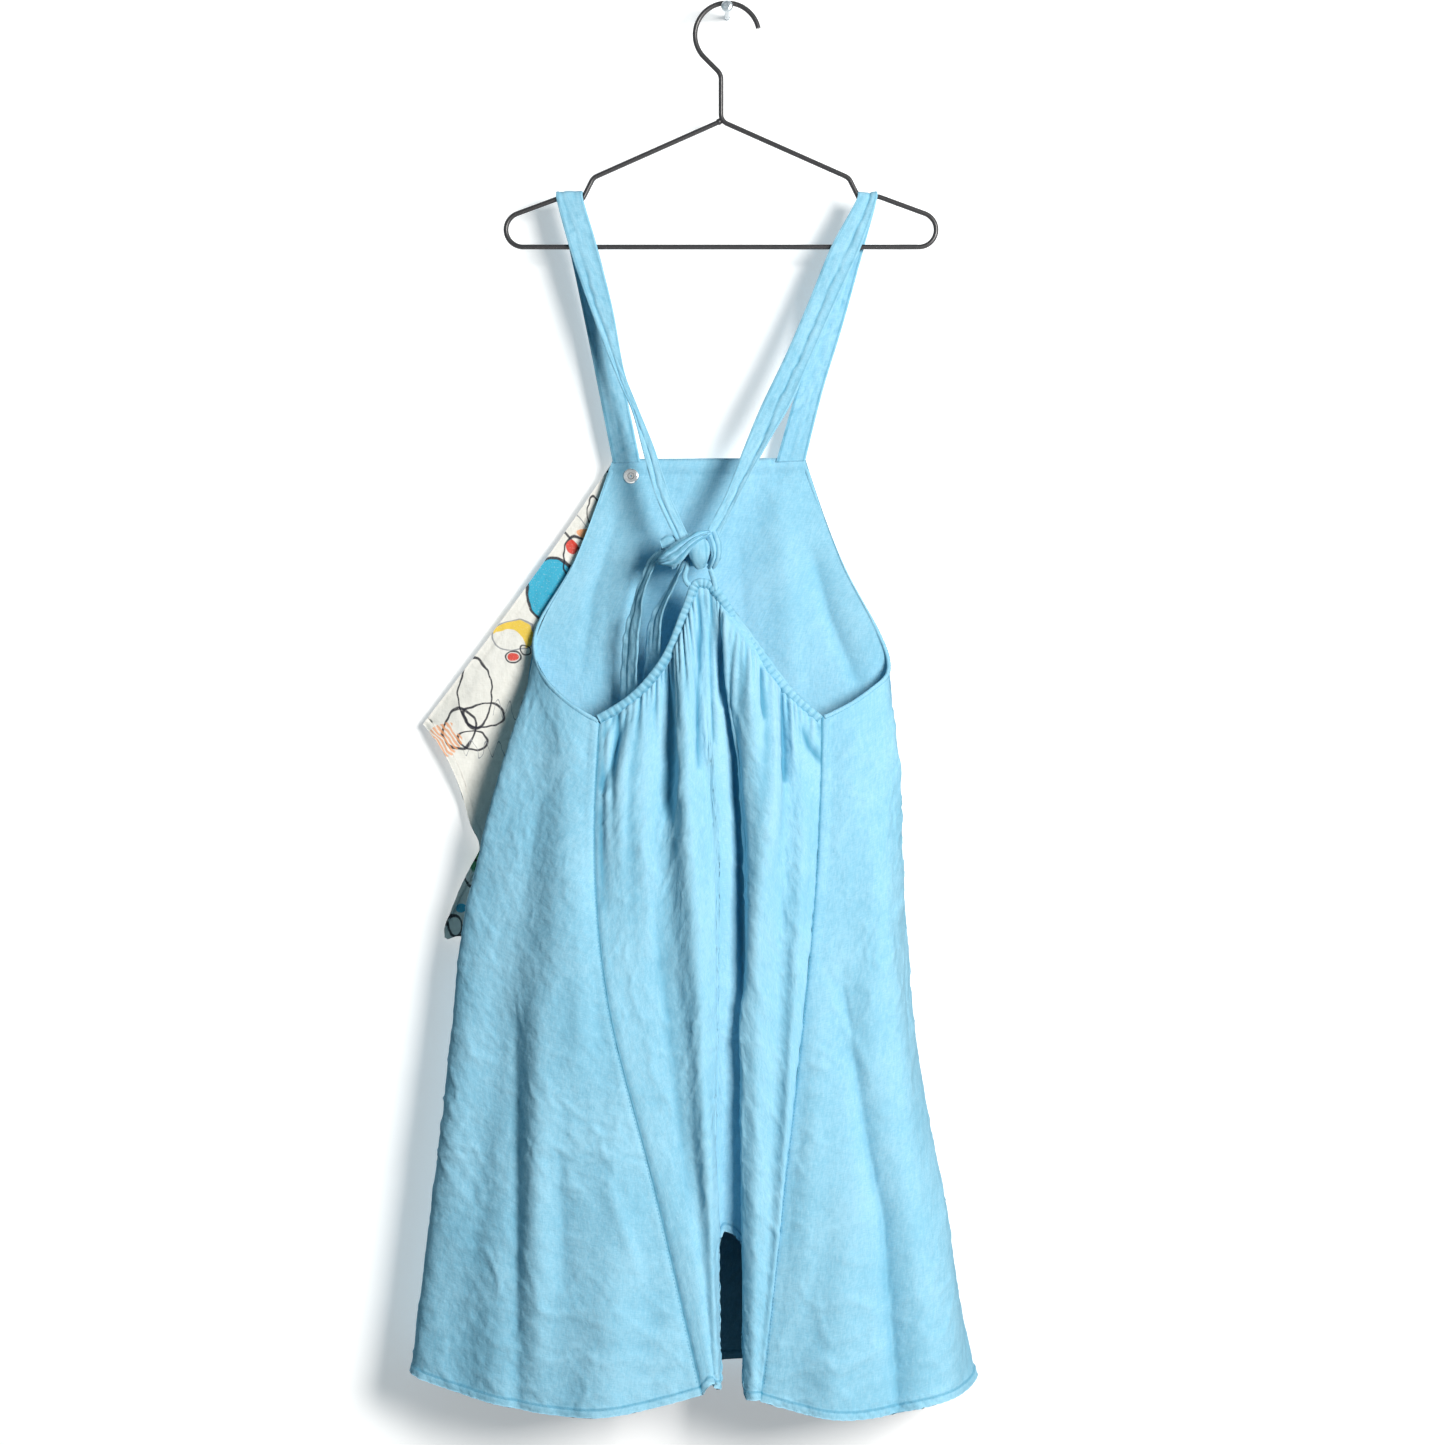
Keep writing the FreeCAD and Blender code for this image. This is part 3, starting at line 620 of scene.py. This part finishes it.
def make_back():
    grid = rail_grid(BACK, shares(525, 2.5, hem=9), 196)
    across, down = metric(grid)
    neckline = spline(NECKLINE, np.linspace(0, 1, 40))[:, [0, 2]]
    from_edge = line_distance(grid[..., 0], grid[..., 2], neckline)[0]
    clear = smoothstep(from_edge, 5.5, 8.5)   # of the casing, under which the cloth lies flat
    height = gathers(across[:1], np.maximum(from_edge - 7, 0), across[0, -1], 11) + folds(grid, BACK_FOLDS)
    # dips: painted shade in the hollows of the gathers, folds and creases, and painted light on their crests
    dips = hollows(height * clear, 6, 2.0) * clear
    creased = crumple(across, down, 21) * smoothstep(down, 10, 70)
    dips = np.clip(dips + 0.25 * hollows(creased), -1, 1)
    right_gap = across[:, -1:] - across
    still = smoothstep(across, 0, 14) * smoothstep(right_gap, 0, 14)
    seam_left, mark_left = seam_groove(across, down, 31)
    seam_right, mark_right = seam_groove(right_gap, down, 32)
    hem, hem_mark, turned = hem_band(down, across, 41)
    height = (height + creased) * (0.15 + 0.85 * still) + seam_left + seam_right + hem
    surface = lifted(grid, height * clear - (1 - clear))
    # colour marks: painted shade along the seams and the hem's stitch line, and lighter wear at the hem's
    # edge
    panel = closed_sheet("back_cloth", surface, 1.0 + 1.1 * turned, mark_left + mark_right + hem_mark, dips)
    return claimed(panel, "back_panel"), surface


def make_side(name, node, rails, marks, seed, seam_at_end):
    grid = rail_grid(rails, shares(560, 2.5, hem=9), 118)
    across, down = metric(grid)
    gap, other = across, across[:, -1:] - across
    if seam_at_end:
        gap, other = other, gap
    height = folds(grid, marks) + crumple(across, down, seed)
    flutes = np.sin(across * 2 * np.pi / 88 + 1.3 * seed) * 3.2 * smoothstep(down, 160, 560)
    height += flutes * smoothstep(gap, 5, 50) * smoothstep(other, 5, 50)
    seam, seam_mark = seam_groove(gap, down, seed + 5)
    hem, hem_mark, turned = hem_band(down, across, seed + 6)
    still = smoothstep(gap, 0, 12) * smoothstep(other, 0, 12) * smoothstep(down, 0, 25)
    height = height * still + seam + hem
    surface = lifted(grid, height)
    # colour marks: painted shade along the seam and the hem's stitch line, lighter wear at the hem's edge,
    # painted shade in hollows and painted light on crests
    panel = closed_sheet(name, surface, 1.0 + 1.1 * turned, seam_mark + hem_mark, 0.3 * hollows(height))
    return claimed(panel, node), surface


def make_front():
    rows = shares(735, 3.0, hem=9)
    share = np.linspace(0, 1, 124)[None, :]
    grid = (spline(LEFT_EDGE, rows)[:, None] * (1 - share[..., None])
            + spline(RIGHT_EDGE, rows)[:, None] * share[..., None])
    across, down = metric(grid)
    fall = smoothstep(down, 180, 735)
    middle = np.sin(np.pi * share)
    height = 9.0 * fall * middle * (1 - np.cos(2 * np.pi * 3 * share)) / 2 + folds(grid, FRONT_FOLDS)
    height += noise(across / 34, down / 260, 61) * 2.6 * smoothstep(down, 15, 120) * middle
    height += crumple(across, down, 62) * (0.35 + 0.65 * fall) * smoothstep(middle, 0, 0.25)
    band = 1 - smoothstep(down, 9.0, 10.5)
    stitched = bell(down - BIB_STITCH_LINE, 1.1)
    hem, hem_mark, turned = hem_band(down, across, 63)
    height += 0.5 * band - 0.6 * stitched + hem
    surface = lifted(grid, height)
    # colour marks: lighter wear at the hem's edge, painted shade along the hem's and the bib's stitch lines,
    # painted shade in hollows and painted light on crests
    panel = closed_sheet("front_cloth", surface, 1.0 + turned + 0.8 * band, hem_mark - 0.6 * stitched,
                         0.25 * hollows(height))
    return claimed(panel, "front_panel"), surface


# == Casing and bindings ==


def piped_edge(node, path, outward, size, side, seed, pucker, samples):
    """A narrow folded band whose one edge is a line, puckered across by the cloth it holds."""
    width, thickness = size
    places = np.linspace(0, 1, samples)
    edge, normals = spline(path, places), unit(spline(outward, places))
    inward = unit(np.cross(unit(np.gradient(edge, axis=0)), normals)) * side
    run = run_along(edge)[:, None]
    turn = np.linspace(0, 2 * np.pi, 18, endpoint=False)
    c, s = np.cos(turn), np.sin(turn)
    low = 0.5 - 0.5 * np.sign(c) * np.abs(c) ** 0.75   # from 0 at the line to 1 at the far edge
    ripple = np.sin(2 * np.pi * run / 5.2 + 2.2 * noise(run / 9, 0.5, seed))
    wave = pucker * ripple
    groove = bell(low - 0.74, 0.07) + 0.7 * bell(low - 0.92, 0.06)
    rounded = np.sign(s) * np.abs(s) ** 0.85
    rise = thickness / 2 * rounded * (1 + wave * (0.35 + 0.65 * low)) - 0.45 * s * groove
    reach = low * (width + 0.5 * wave)
    rings = edge[:, None] + inward[:, None] * reach[..., None] + normals[:, None] * rise[..., None]
    # painted shade along the stitch grooves and in the troughs of the puckers
    marks = np.where(s > 0, -0.9 * groove - 0.5 * np.maximum(0, -ripple) * (pucker > 0.1), 0.0)
    flat = np.stack(np.broadcast_arrays(run, low * width * 1.3), axis=-1).reshape(-1, 2)
    faces = ring_faces(samples, len(turn), flip=side < 0)
    piece = make_object(f"{node}_cloth", rings.reshape(-1, 3), faces, flat, {"seam": marks})
    return claimed(piece, node), edge, inward, normals


def make_edges():
    to_wall, to_left, to_room = (0, 1, 0), (-1, 0, 0), (0, -1, 0)
    left = [to_wall, to_wall, to_wall, (-0.9, 0.5, 0), to_left, (-0.8, -0.8, 0), to_room, to_room]
    right = [(-x, y, z) for x, y, z in left]
    return [piped_edge("neckline_casing", NECKLINE, [to_room] * 2, CASING, 1, 51, 0.17, 420),
            piped_edge("armhole_binding_left", ARMHOLE_LEFT, left, BINDING_LEFT, 1, 52, 0.06, 200),
            piped_edge("armhole_binding_right", ARMHOLE_RIGHT, right, BINDING_RIGHT, -1, 53, 0.06, 200)]


# == Straps, knot, tails, loop ==


def band(name, left, right, cloth_width, thickness, seed, creases=(), pitch=2.2, columns=25,
         roundness=6.0, pleats=0, pleat_depth=0.0, stands_for=(), wrinkle=0.35, hem=0.0, ruffle=0.0):
    """A strip of cloth between two edge lines.  creases are (share across, depth): sharp
    lengthwise lines, beside which the cloth on the right stands a little higher."""
    length = run_along(left)[-1]
    rows = np.linspace(0, 1, max(int(length / pitch), 6) + 1)
    first, second = spline(left, rows), spline(right, rows)
    turn = np.cos(np.pi * np.linspace(0, 1, columns))[None, :]
    share = 0.5 - 0.5 * turn * (0.75 + 0.25 * np.abs(turn))   # columns close up at the edges
    grid = first[:, None] * (1 - share[..., None]) + second[:, None] * share[..., None]
    width = np.linalg.norm(second - first, axis=1)[:, None]
    run = rows[:, None] * length
    across = share * cloth_width
    height = np.zeros((len(rows), columns))
    for number, (place, depth) in enumerate(creases):
        wander = 0.10 * noise(run / 45, 0.0, seed + 7 * number) + 0.03 * noise(run / 8, 0.0, seed + 1)
        off = (share - place - wander) * width
        here = depth * smoothstep(cloth_width * 1.02 - width, -1.5, 2.5)
        height += here * (0.6 * smoothstep(off, 0, 1.5) - np.exp(-np.abs(off) / 0.9))
    height += wrinkle * noise(across / 5 + 4 * noise(run / 30, 0.0, seed + 1), run / 22, seed + 2)
    height += 0.6 * wrinkle * noise(across / 2.5, run / 6, seed + 3)
    from_middle = np.abs(2 * share - 1)
    height += ruffle * from_middle**2 * noise(run / 7, share * 1.5, seed + 5)
    surface = lifted(grid, height)
    swell = (1 - from_middle**roundness) ** 0.5
    if pleats:
        valleys = np.abs(np.sin(np.pi * pleats * (share + 0.03 * noise(run / 9, 0.0, seed)))) ** 0.5
        swell = swell * (1 - pleat_depth + pleat_depth * valleys)
    thick = np.maximum(thickness * swell, 0.25)
    from_edge = np.minimum(across, cloth_width - across)
    thick = thick * (1 - hem * smoothstep(from_edge, 2.0, 3.0))
    # painted shade along the stitch line near each edge; below it, painted shade in hollows and painted
    # light on crests
    seam = -0.6 * bell(across - 1.8, 0.6) - 0.6 * bell(cloth_width - across - 1.8, 0.6)
    piece = closed_sheet(name, surface, thick, seam, hollows(height + thick / 2, 3, 0.9), (across, run))
    return claimed(piece, *stands_for)


def over_wire(x):
    """The stretch over the hanger: it bows round the wire in the plane across it."""
    angles = [math.radians(angle) for angle in (0, 45, 90, 135, 180)]
    return [(x, -36 + 4.0 * math.cos(angle), -151.4 + 4.0 * math.sin(angle)) for angle in angles]


# Straps and tails: name, cloth width, seed, place of the crease, left line, right line
STRAPS = [
    ("strap_left", 21.4, 71, 0.36,
     [(-91.8, -20.9, -363), (-102.6, -24, -308), (-113.3, -27, -254), (-127.8, -30, -186),
      *over_wire(-136.6), (-126.3, -42, -191), (-115.4, -44, -224), (-99.9, -47, -266), (-85.4, -50, -302),
      (-76.3, -52, -322), (-65.4, -56, -362), (-56.3, -60, -393), (-42, -64, -424), (-36, -66, -436)],
     [(-69.6, -20.9, -362), (-78.1, -23, -321), (-92, -26, -254), (-106.5, -30, -186), *over_wire(-115.3),
      (-103.8, -42, -191), (-91, -45, -242), (-81, -48, -295), (-72.7, -50, -317), (-58, -54, -353),
      (-44.4, -59, -393), (-31, -63, -423), (-25, -65, -436)]),
    ("strap_right", 22.5, 81, 0.62,
     [(39.4, -20.9, -362), (50.3, -23, -323), (68, -26, -262), (90, -30, -192), *over_wire(104.4),
      (83.4, -42, -191), (64.2, -45, -238), (46.1, -49, -280), (26.2, -53, -322), (13.5, -56, -353),
      (-0.8, -60, -390), (-16, -64, -420), (-22, -66, -434)],
     [(63.1, -20.9, -361), (77.6, -24, -303), (92, -27, -256), (109.9, -30, -191), *over_wire(120.3),
      (107.8, -42, -190), (87.7, -45, -235), (66.1, -49, -284), (51.6, -53, -317), (30.9, -56, -353),
      (11.1, -60, -390), (-6, -63, -425), (-10, -65, -438)])]
TAILS = [
    ("tail_left", 20, 101, 0.3,
     [(-51, -60, -433), (-59.3, -54, -438), (-63.6, -50, -444), (-68, -47, -456), (-72.4, -45, -465),
      (-76, -43, -478), (-80.5, -41, -492), (-84, -39, -515), (-85.4, -37, -548), (-85, -37, -592)],
     [(-45, -62, -438), (-52, -61, -440), (-56, -58, -445), (-61, -55, -457), (-64, -54, -465),
      (-66, -53, -473), (-67, -52, -484), (-69, -51, -495), (-71, -50, -530), (-69, -48, -592)]),
    ("tail_right", 17, 102, 0.4,
     [(-37, -62, -443), (-41.6, -55, -455), (-45.8, -51, -463), (-53.7, -47, -475), (-60, -44, -486),
      (-63.7, -42, -498), (-66, -40, -520), (-66, -39, -574)],
     [(-32, -64, -444), (-38, -61, -457), (-42, -59, -465), (-47, -57, -475), (-50.9, -55, -484),
      (-52.3, -54, -492), (-52.7, -52, -510), (-51, -48, -574)])]
# Knot: name, thickness, seed, pleats and creases, left line, right line.  The first is its body,
# behind, seen from the sides and through the neck.
KNOT = [
    ("knot_back", 13, 91, dict(pleats=2, pleat_depth=0.3),
     [(-50, -56, -437), (-38, -54, -424), (-20, -54, -420), (-6, -58, -426)],
     [(-44, -56, -450), (-32, -54, -448), (-18, -54, -446), (-6, -58, -444)]),
    ("knot_wrap", 8, 92, dict(pleats=3, pleat_depth=0.8),
     [(-55, -60, -441), (-52.4, -67, -439), (-46, -71, -433), (-38.5, -73, -428), (-31.6, -73, -424.5),
      (-23, -71, -420.5), (-16, -64, -420)],
     [(-52, -60, -446), (-49, -67, -447.5), (-42.8, -70, -448.5), (-36, -72, -445), (-27, -74, -434),
      (-21, -72, -429), (-14, -65, -424)]),
    ("knot_bulge", 10, 93, dict(pleats=1, creases=[(0.62, 1.2)]),
     [(-26, -64, -425), (-31, -69, -433), (-30, -70, -441), (-25, -65, -448)],
     [(-18, -66, -426), (-14, -71, -431), (-13.6, -71, -438), (-17, -65, -447)]),
    ("knot_right", 6, 94, dict(pleats=2, pleat_depth=0.8),
     [(-18, -64, -423), (-14, -69, -432), (-12.8, -69, -440), (-16, -63, -449)],
     [(-7, -62, -421), (-4.0, -66, -432), (-5.6, -66, -443), (-11, -61, -450)]),
    ("knot_corner", 4, 95, dict(),
     [(-53, -60, -426.5), (-46.4, -61, -423), (-39, -61, -425)],
     [(-51, -61, -434), (-45.7, -62, -433), (-38, -62, -430)])]


def make_straps():
    return [band(f"{name}_cloth", left, right, width, 1.8, seed, [(crease, 0.9)], stands_for=[name],
                 wrinkle=0.28, hem=0.35) for name, width, seed, crease, left, right in STRAPS]


def make_knot():
    made = [band(name, left, right, 12, thickness, seed, columns=37, pitch=0.8, roundness=2.2, wrinkle=0.3,
                 **more) for name, thickness, seed, more, left, right in KNOT]
    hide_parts("tie_knot")
    return made


def make_tails():
    return [band(f"{name}_cloth", left, right, width, 1.9, seed, [(crease, 0.8)],
                 stands_for=[f"strap_{name}"], hem=0.55, ruffle=0.9)
            for name, width, seed, crease, left, right in TAILS]


def make_loop():
    path = spline([(-30, -60.5, -463), (-33.5, -62, -457), (-31.6, -63.5, -449), (-29, -62, -441),
        (-21, -61, -437), (-14, -62.5, -443), (-12.7, -63.5, -452), (-10.5, -62.5, -459),
        (-9, -61, -467)], np.linspace(0, 1, 60))
    twisted = lambda run, angles: 1 + 0.08 * np.sin(run * 2.2 + angles)
    return claimed(tube("back_loop_cord", path, 2.0, 1.4, 12, twisted), "back_loop")


# == Printed overlay ==

OVERLAY = -12.0   # its Y, where a rail's point has only an X and a Z
STUD = (-77.3, -373.2)
PRINT_RAILS = [[(p[0], OVERLAY, p[1]) if len(p) == 2 else p for p in rail] for rail in (
    [(-92, -361), (-135, -424), (-183, -490.5), (-245.5, -9, -573)],
    [(-90, -361), (-131, -430), (-177, -500), (-232, -13, -590)],
    [(-87, -361), (-127, -440), (-170, -520), (-220.5, -14, -612)],
    [(-84, -361), (-123, -450), (-165, -11, -545), (-212, -10, -637)],
    [(-81, -361), (-118, -460), (-160, -11, -570), (-206.5, -13, -655)],
    [(-79, -361), (-112, -475), (-155, -12, -590), (-200, -10, -673)],
    [(-77, -361), (-108, -490), (-160, -13, -630), (-205, -8, -690), (-228, -11, -746)],
    [(-75, -361), (-104, -500), (-150, -11, -640), (-190, -13, -705), (-216, -13, -744)],
    [(-72, -361), (-95, -520), (-120, -12, -660), (-170, -9, -765)],
    [(-68, -361), (-70, -530), (-80, -11, -680), (-110, -12, -778)],
    [(-64, -361), (-40, -540), (-30, -12, -680), (-45, -9, -776)],
    [(-58, -361), (0, -540), (15, -11, -660), (12, -12, -766)],
    [(-52, -361), (25, -470), (58, -12, -540), (76, -11, -650)])]


def make_overlay(cloth):
    grid = rail_grid(PRINT_RAILS, shares(300, 2.4, hem=7), 170)
    across, down = metric(grid)
    x, z = grid[..., 0], grid[..., 2]
    loose = smoothstep(np.hypot(x - STUD[0], z - STUD[1]), 15, 90)
    height = (1.2 * noise(x / 38, z / 60, 111) + 0.5 * crumple(across, down, 112)) * loose
    up = down[-1:, :] - down
    turned = np.maximum(1 - smoothstep(across, 7.0, 8.2), 1 - smoothstep(up, 6.0, 7.2))
    line = bell(across - 7.4, 0.8) + bell(up - 6.4, 0.8)
    surface = lifted(grid, np.clip(height, -3, 2.2) - 0.35 * line)
    # lighter wear along the turned edge, and painted shade along the sunk stitch line
    wear_and_stitch_shade = 0.3 * turned * (across < 1.5) - 0.5 * line
    panel = closed_sheet("print_cloth", surface, 0.8 + 0.9 * turned, wear_and_stitch_shade, uvs=(x, z), material=cloth,
                         body="overlay")
    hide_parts("print_panel")
    return panel


def printed_cotton():
    """Cream cotton with a bold abstract print: wobbly rings, blobs, strokes and scribbles."""
    # its third colour is painted shade, laid along the sunk stitch line
    shader = linen("printed_cotton", (0.90, 0.88, 0.82), (0.80, 0.78, 0.71), (0.45, 0.44, 0.40),
                   0.12, 0.0004, 0.16)
    uv = shader.uv()
    wobble = uv.noise(45.0, output="Color").vector("SUBTRACT", (0.5, 0.5, 0.5))
    flat = wobble.scaled(0.010, 0.010, 0).vector("ADD", uv).scaled(1, 1, 0)
    x_place, z_place, _ = flat.axes()
    grain = uv.noise(700.0).ramp(0.25, 0.45) * 0.25 + 0.75
    printed = [Value(shader, shader.surface.inputs["Base Color"].links[0].from_socket)]

    def lay(mask, colour, strength=0.95):
        printed[0] = (mask * strength * grain).mix(printed[0], colour)

    def distance(x, z, stretch):
        gap = flat.vector("SUBTRACT", (x * MM, z * MM, 0)).scaled(*stretch, 0)
        return gap.vector("LENGTH", output="Value")

    def disc(x, z, radius, stretch=(1, 1)):
        return distance(x, z, stretch).ramp((radius + 0.4) * MM, (radius - 0.4) * MM)

    def ring(x, z, radius, width=0.8, stretch=(1, 1)):
        return abs(distance(x, z, stretch) - radius * MM).ramp((width + 0.4) * MM, (width - 0.3) * MM)

    black, grey = (0.03, 0.03, 0.04), (0.30, 0.31, 0.33)
    cyan, yellow, red = (0.02, 0.42, 0.62), (0.85, 0.58, 0.06), (0.70, 0.06, 0.04)
    orange, green = (0.85, 0.36, 0.16), (0.05, 0.30, 0.14)

    # scattered over the whole panel: one ring or blob in each cell of a loose grid
    cells = shader.node("ShaderNodeTexVoronoi", {"Vector": flat, "Scale": 17.0}, voronoi_dimensions="2D")
    kind, wide, _ = Value(shader, cells.outputs["Color"]).axes()
    off = Value(shader, cells.outputs["Distance"]) - (wide * 0.16 + 0.16)
    visible = x_place.ramp(-0.150, -0.140)
    blob = off.ramp(0.012, -0.012) * visible
    for low, high, colour in ((0.0, 0.2, cyan), (0.3, 0.42, yellow), (0.5, 0.6, red), (0.7, 0.78, green)):
        lay(blob * (kind.math("GREATER_THAN", low) * kind.math("LESS_THAN", high)), colour, 0.85)
    lay(abs(off).ramp(0.026, 0.016) * visible * kind.math("LESS_THAN", 0.85), black)
    for scale, width, colour in ((9.0, 0.008, black), (15.0, 0.006, grey)):
        lay(abs(flat.noise(scale, 0.0) - 0.52).ramp(width, width * 0.4) * visible, colour, 0.9)

    # placed one by one on the part that hangs clear of the skirt
    lay(disc(-140, -466, 21, (1, 0.8)), cyan)
    lay(ring(-140, -466, 21.5, 0.9, (1, 0.8)), black)
    lay(ring(-120, -440, 12, 0.7, (1, 0.7)), black)
    lay(disc(-124, -431, 5), red)
    lay(disc(-113, -419, 4, (0.6, 1)), orange)
    lay(ring(-108, -400, 7, 0.6, (1.5, 0.6)), black)
    lay(disc(-172, -501, 14, (0.8, 1.2)) * (1 - disc(-178, -508, 12, (0.8, 1.1))), yellow)
    lay(ring(-172, -501, 14.5, 0.5, (0.8, 1.2)), grey)
    lay(disc(-172, -519, 3.6), red)
    lay(ring(-172, -519, 5.0, 0.6), black)
    lay(ring(-163, -513, 4.0, 0.5), black)
    lay(ring(-203, -548, 17, 0.8, (1.3, 0.62)), black)
    lay(ring(-196, -566, 12, 0.8, (0.7, 1.3)), black)
    lay(ring(-216, -577, 13, 0.8, (1.0, 0.8)), black)
    lay(ring(-205, -585, 9, 0.7, (0.8, 1.2)), black)
    hatch = abs((x_place * 900.0 + z_place * 700.0).math("SINE")).ramp(0.5, 0.75)
    lay(hatch * disc(-228, -585, 15, (1, 1.1)) * (1 - disc(-214, -574, 8)), orange, 0.8)
    curl = (x_place * 620.0).math("SINE") * 0.006
    for x, z, radius, wide in ((-186, -592, 24, 0.9), (-170, -561, 20, 1)):
        lay(abs(z_place + -z * MM + curl).ramp(0.0009, 0.0004) * disc(x, z, radius, (wide, 1.6)), grey, 0.9)
    lay(disc(-203, -684, 6, (1, 0.7)), green)
    lay(ring(-206, -694, 7, 0.8, (1.2, 0.7)), black)
    lay(disc(-214, -722, 4), cyan)
    lay(ring(-220, -736, 5, 0.8, (1, 0.6)), black)
    shader.set(Base_Color=printed[0])
    return shader.owner


# == Stitching, and what holds the cloth ==


def level_line(surface, up):
    """Points on the cloth at a height above its hem, with the cloth's normals there."""
    down, normals = metric(surface)[1], grid_normals(surface)
    points, directions = [], []
    for column in range(surface.shape[1]):
        row = np.interp(down[-1, column] - up, down[:, column], np.arange(len(down)))
        low = min(int(row), len(down) - 2)
        share = row - low
        points.append(surface[low, column] * (1 - share) + surface[low + 1, column] * share)
        directions.append(normals[low, column])
    return np.array(points), np.array(directions)


def make_stitching():
    made = []
    for name, surface in (("back", back_surface), ("left", left_surface), ("right", right_surface),
                          ("front", front_surface)):
        points, directions = level_line(surface, STITCH_LINE)
        made.append(stitches(f"hem_stitches_{name}", points, directions, 0.95))
    made.append(stitches("hem_stitches_front_outside", points, -directions, 0.95))
    for name, surface, column in (("left", left_surface, -2), ("right", right_surface, 1)):
        made.append(stitches(f"seam_stitches_{name}", surface[3:-8, column],
                             grid_normals(surface)[3:-8, column], 0.5))
    row = int(np.argmin(np.abs(metric(front_surface)[1][:, 0] - BIB_STITCH_LINE)))
    for name, facing in (("room", 1), ("wall", -1)):
        made.append(stitches(f"bib_stitches_{name}", front_surface[row],
                             grid_normals(front_surface)[row] * facing, 0.5))
    for (_, edge, inward, normals), name, (width, thickness), lines in zip(
            edges, ("casing", "armhole_left", "armhole_right"), (CASING, BINDING_LEFT, BINDING_RIGHT),
            ((0.74, 0.92), (0.7,), (0.7,))):
        for number, share in enumerate(lines):
            height = thickness / 2 * (1 - abs(2 * share - 1) ** (2 / 0.75)) ** (0.85 / 2)
            line = edge + inward * width * share + normals * (height - 0.35)
            made.append(stitches(f"{name}_stitches_{number}", line, normals, 0.1, 2.7, 1.9))
    return made


# == Stage, lights and camera ==


def make_stage():
    wall, floor = Shader("pale_wall"), Shader("pale_floor")
    white = (1, 1, 1, 1)
    wall.set(Base_Color=wall.place().noise(30.0, 3.0).mix((0.88,) * 3, (0.90,) * 3), Roughness=0.9,
             Specular_IOR_Level=0.1, Emission_Color=white, Emission_Strength=0.36)
    # the wall is seen from the room only, so that the garment's front can be looked at too
    behind = wall.out("ShaderNodeNewGeometry", output="Backfacing")
    clear = wall.out("ShaderNodeBsdfTransparent")
    either = wall.out("ShaderNodeMixShader", {0: behind, 1: Value(wall, wall.surface.outputs[0]), 2: clear})
    output = next(n for n in wall.tree.nodes if n.type == "OUTPUT_MATERIAL")
    wall.feed(output.inputs["Surface"], either)
    floor.set(Base_Color=floor.place().noise(18.0, 4.0).mix((0.80, 0.80, 0.79), (0.85, 0.85, 0.84)),
              Roughness=0.8, Specular_IOR_Level=0.2, Emission_Color=white, Emission_Strength=0.30)
    low, top, reach = -1.75, 6.0, 4.5   # the floor, the top of the walls, and the room's depth
    for name, wide, near, far, bottom, upper, shader in (
            ("wall", 9.0, 0, 0, low, top, wall), ("room_end", -9.0, -reach, -reach, low, top, wall),
            ("floor", 9.0, -reach, reach, low, low, floor)):
        mesh = bpy.data.meshes.new(name)
        corners = [(-wide, near, bottom), (wide, near, bottom), (wide, far, upper), (-wide, far, upper)]
        mesh.from_pydata(corners, [], [(0, 1, 2, 3)])
        mesh.materials.append(shader.owner)
        plane = placed(name, mesh)
        plane.visible_shadow = plane.visible_diffuse = False


def area_light(name, place, size, power, colour=(1, 1, 1)):
    """A light that points at the middle of the garment."""
    data = bpy.data.lights.new(name, "AREA")
    data.shape, data.size, data.size_y = "RECTANGLE", size[0], size[1]
    data.energy, data.color = power, colour
    light = placed(name, data)
    light.location = place
    to_garment = Vector((0, -0.05, -0.65)) - Vector(place)
    light.rotation_euler = to_garment.to_track_quat("-Z", "Y").to_euler()


def make_lights():
    area_light("key", (1.45, -2.4, 0.0), (1.0, 1.0), 106, (1.0, 0.97, 0.94))
    area_light("fill", (-1.9, -2.4, -0.2), (1.6, 1.8), 3, (0.5, 0.88, 1.0))
    area_light("behind", (-1.2, 2.6, 0.4), (2.0, 2.0), 70)
    # the studio is bright above and to the sides, and darker below
    studio = Shader("studio", bpy.data.worlds)
    height = studio.out("ShaderNodeTexCoord", output="Generated").axes()[2]
    shade = studio.out("ShaderNodeMapRange", {"Value": height, "From Min": -0.5, "From Max": 0.3,
                                              "To Min": 0.22, "To Max": 1.0}, "Result")
    tint = studio.out("ShaderNodeMix", {0: 1.0, 6: (0.54, 0.85, 1.0, 1.0), 7: shade}, 2,
                      data_type="RGBA", blend_type="MULTIPLY")
    studio.set(Color=tint, Strength=0.20)
    bpy.context.scene.world = studio.owner
    bpy.context.scene.view_settings.view_transform = "Standard"


def make_camera():
    data = bpy.data.cameras.new("camera")
    data.sensor_width = 36.0
    distance, picture_width = 2.6, 1.156
    data.lens = data.sensor_width * distance / picture_width
    camera = placed("camera", data)
    hanger_plane = (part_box("hanger_bar")[0].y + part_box("hanger_bar")[1].y) / 2
    camera.location = (-0.0036, hanger_plane - distance, -0.5716)
    camera.rotation_euler = (math.pi / 2, 0, 0)
    bpy.context.scene.camera = camera


def paint(names, material):
    for name in names:
        nodes[name].data.materials.clear()
        nodes[name].data.materials.append(material)


make_camera()
make_stage()
make_lights()
paint(["hanger_hook", "hanger_shoulder_left", "hanger_shoulder_right", "hanger_bar", "neck_weld"],
      black_wire)
paint(["wall_screw"], zinc)
paint(["stud_ring", "stud_ball", "stud_socket", "stud_cap"], nickel)

back_cloth, back_surface = make_back()
left_cloth, left_surface = make_side("side_left_cloth", "side_panel_left", LEFT_SIDE, LEFT_FOLDS, 23, True)
right_cloth, right_surface = make_side("side_right_cloth", "side_panel_right", RIGHT_SIDE, RIGHT_FOLDS,
                                       27, False)
front_cloth, front_surface = make_front()
edges = make_edges()
straps = make_straps()
knot = make_knot()
tails = make_tails()
loop = make_loop()
overlay_cloth = make_overlay(printed_cotton())
stitching = make_stitching()
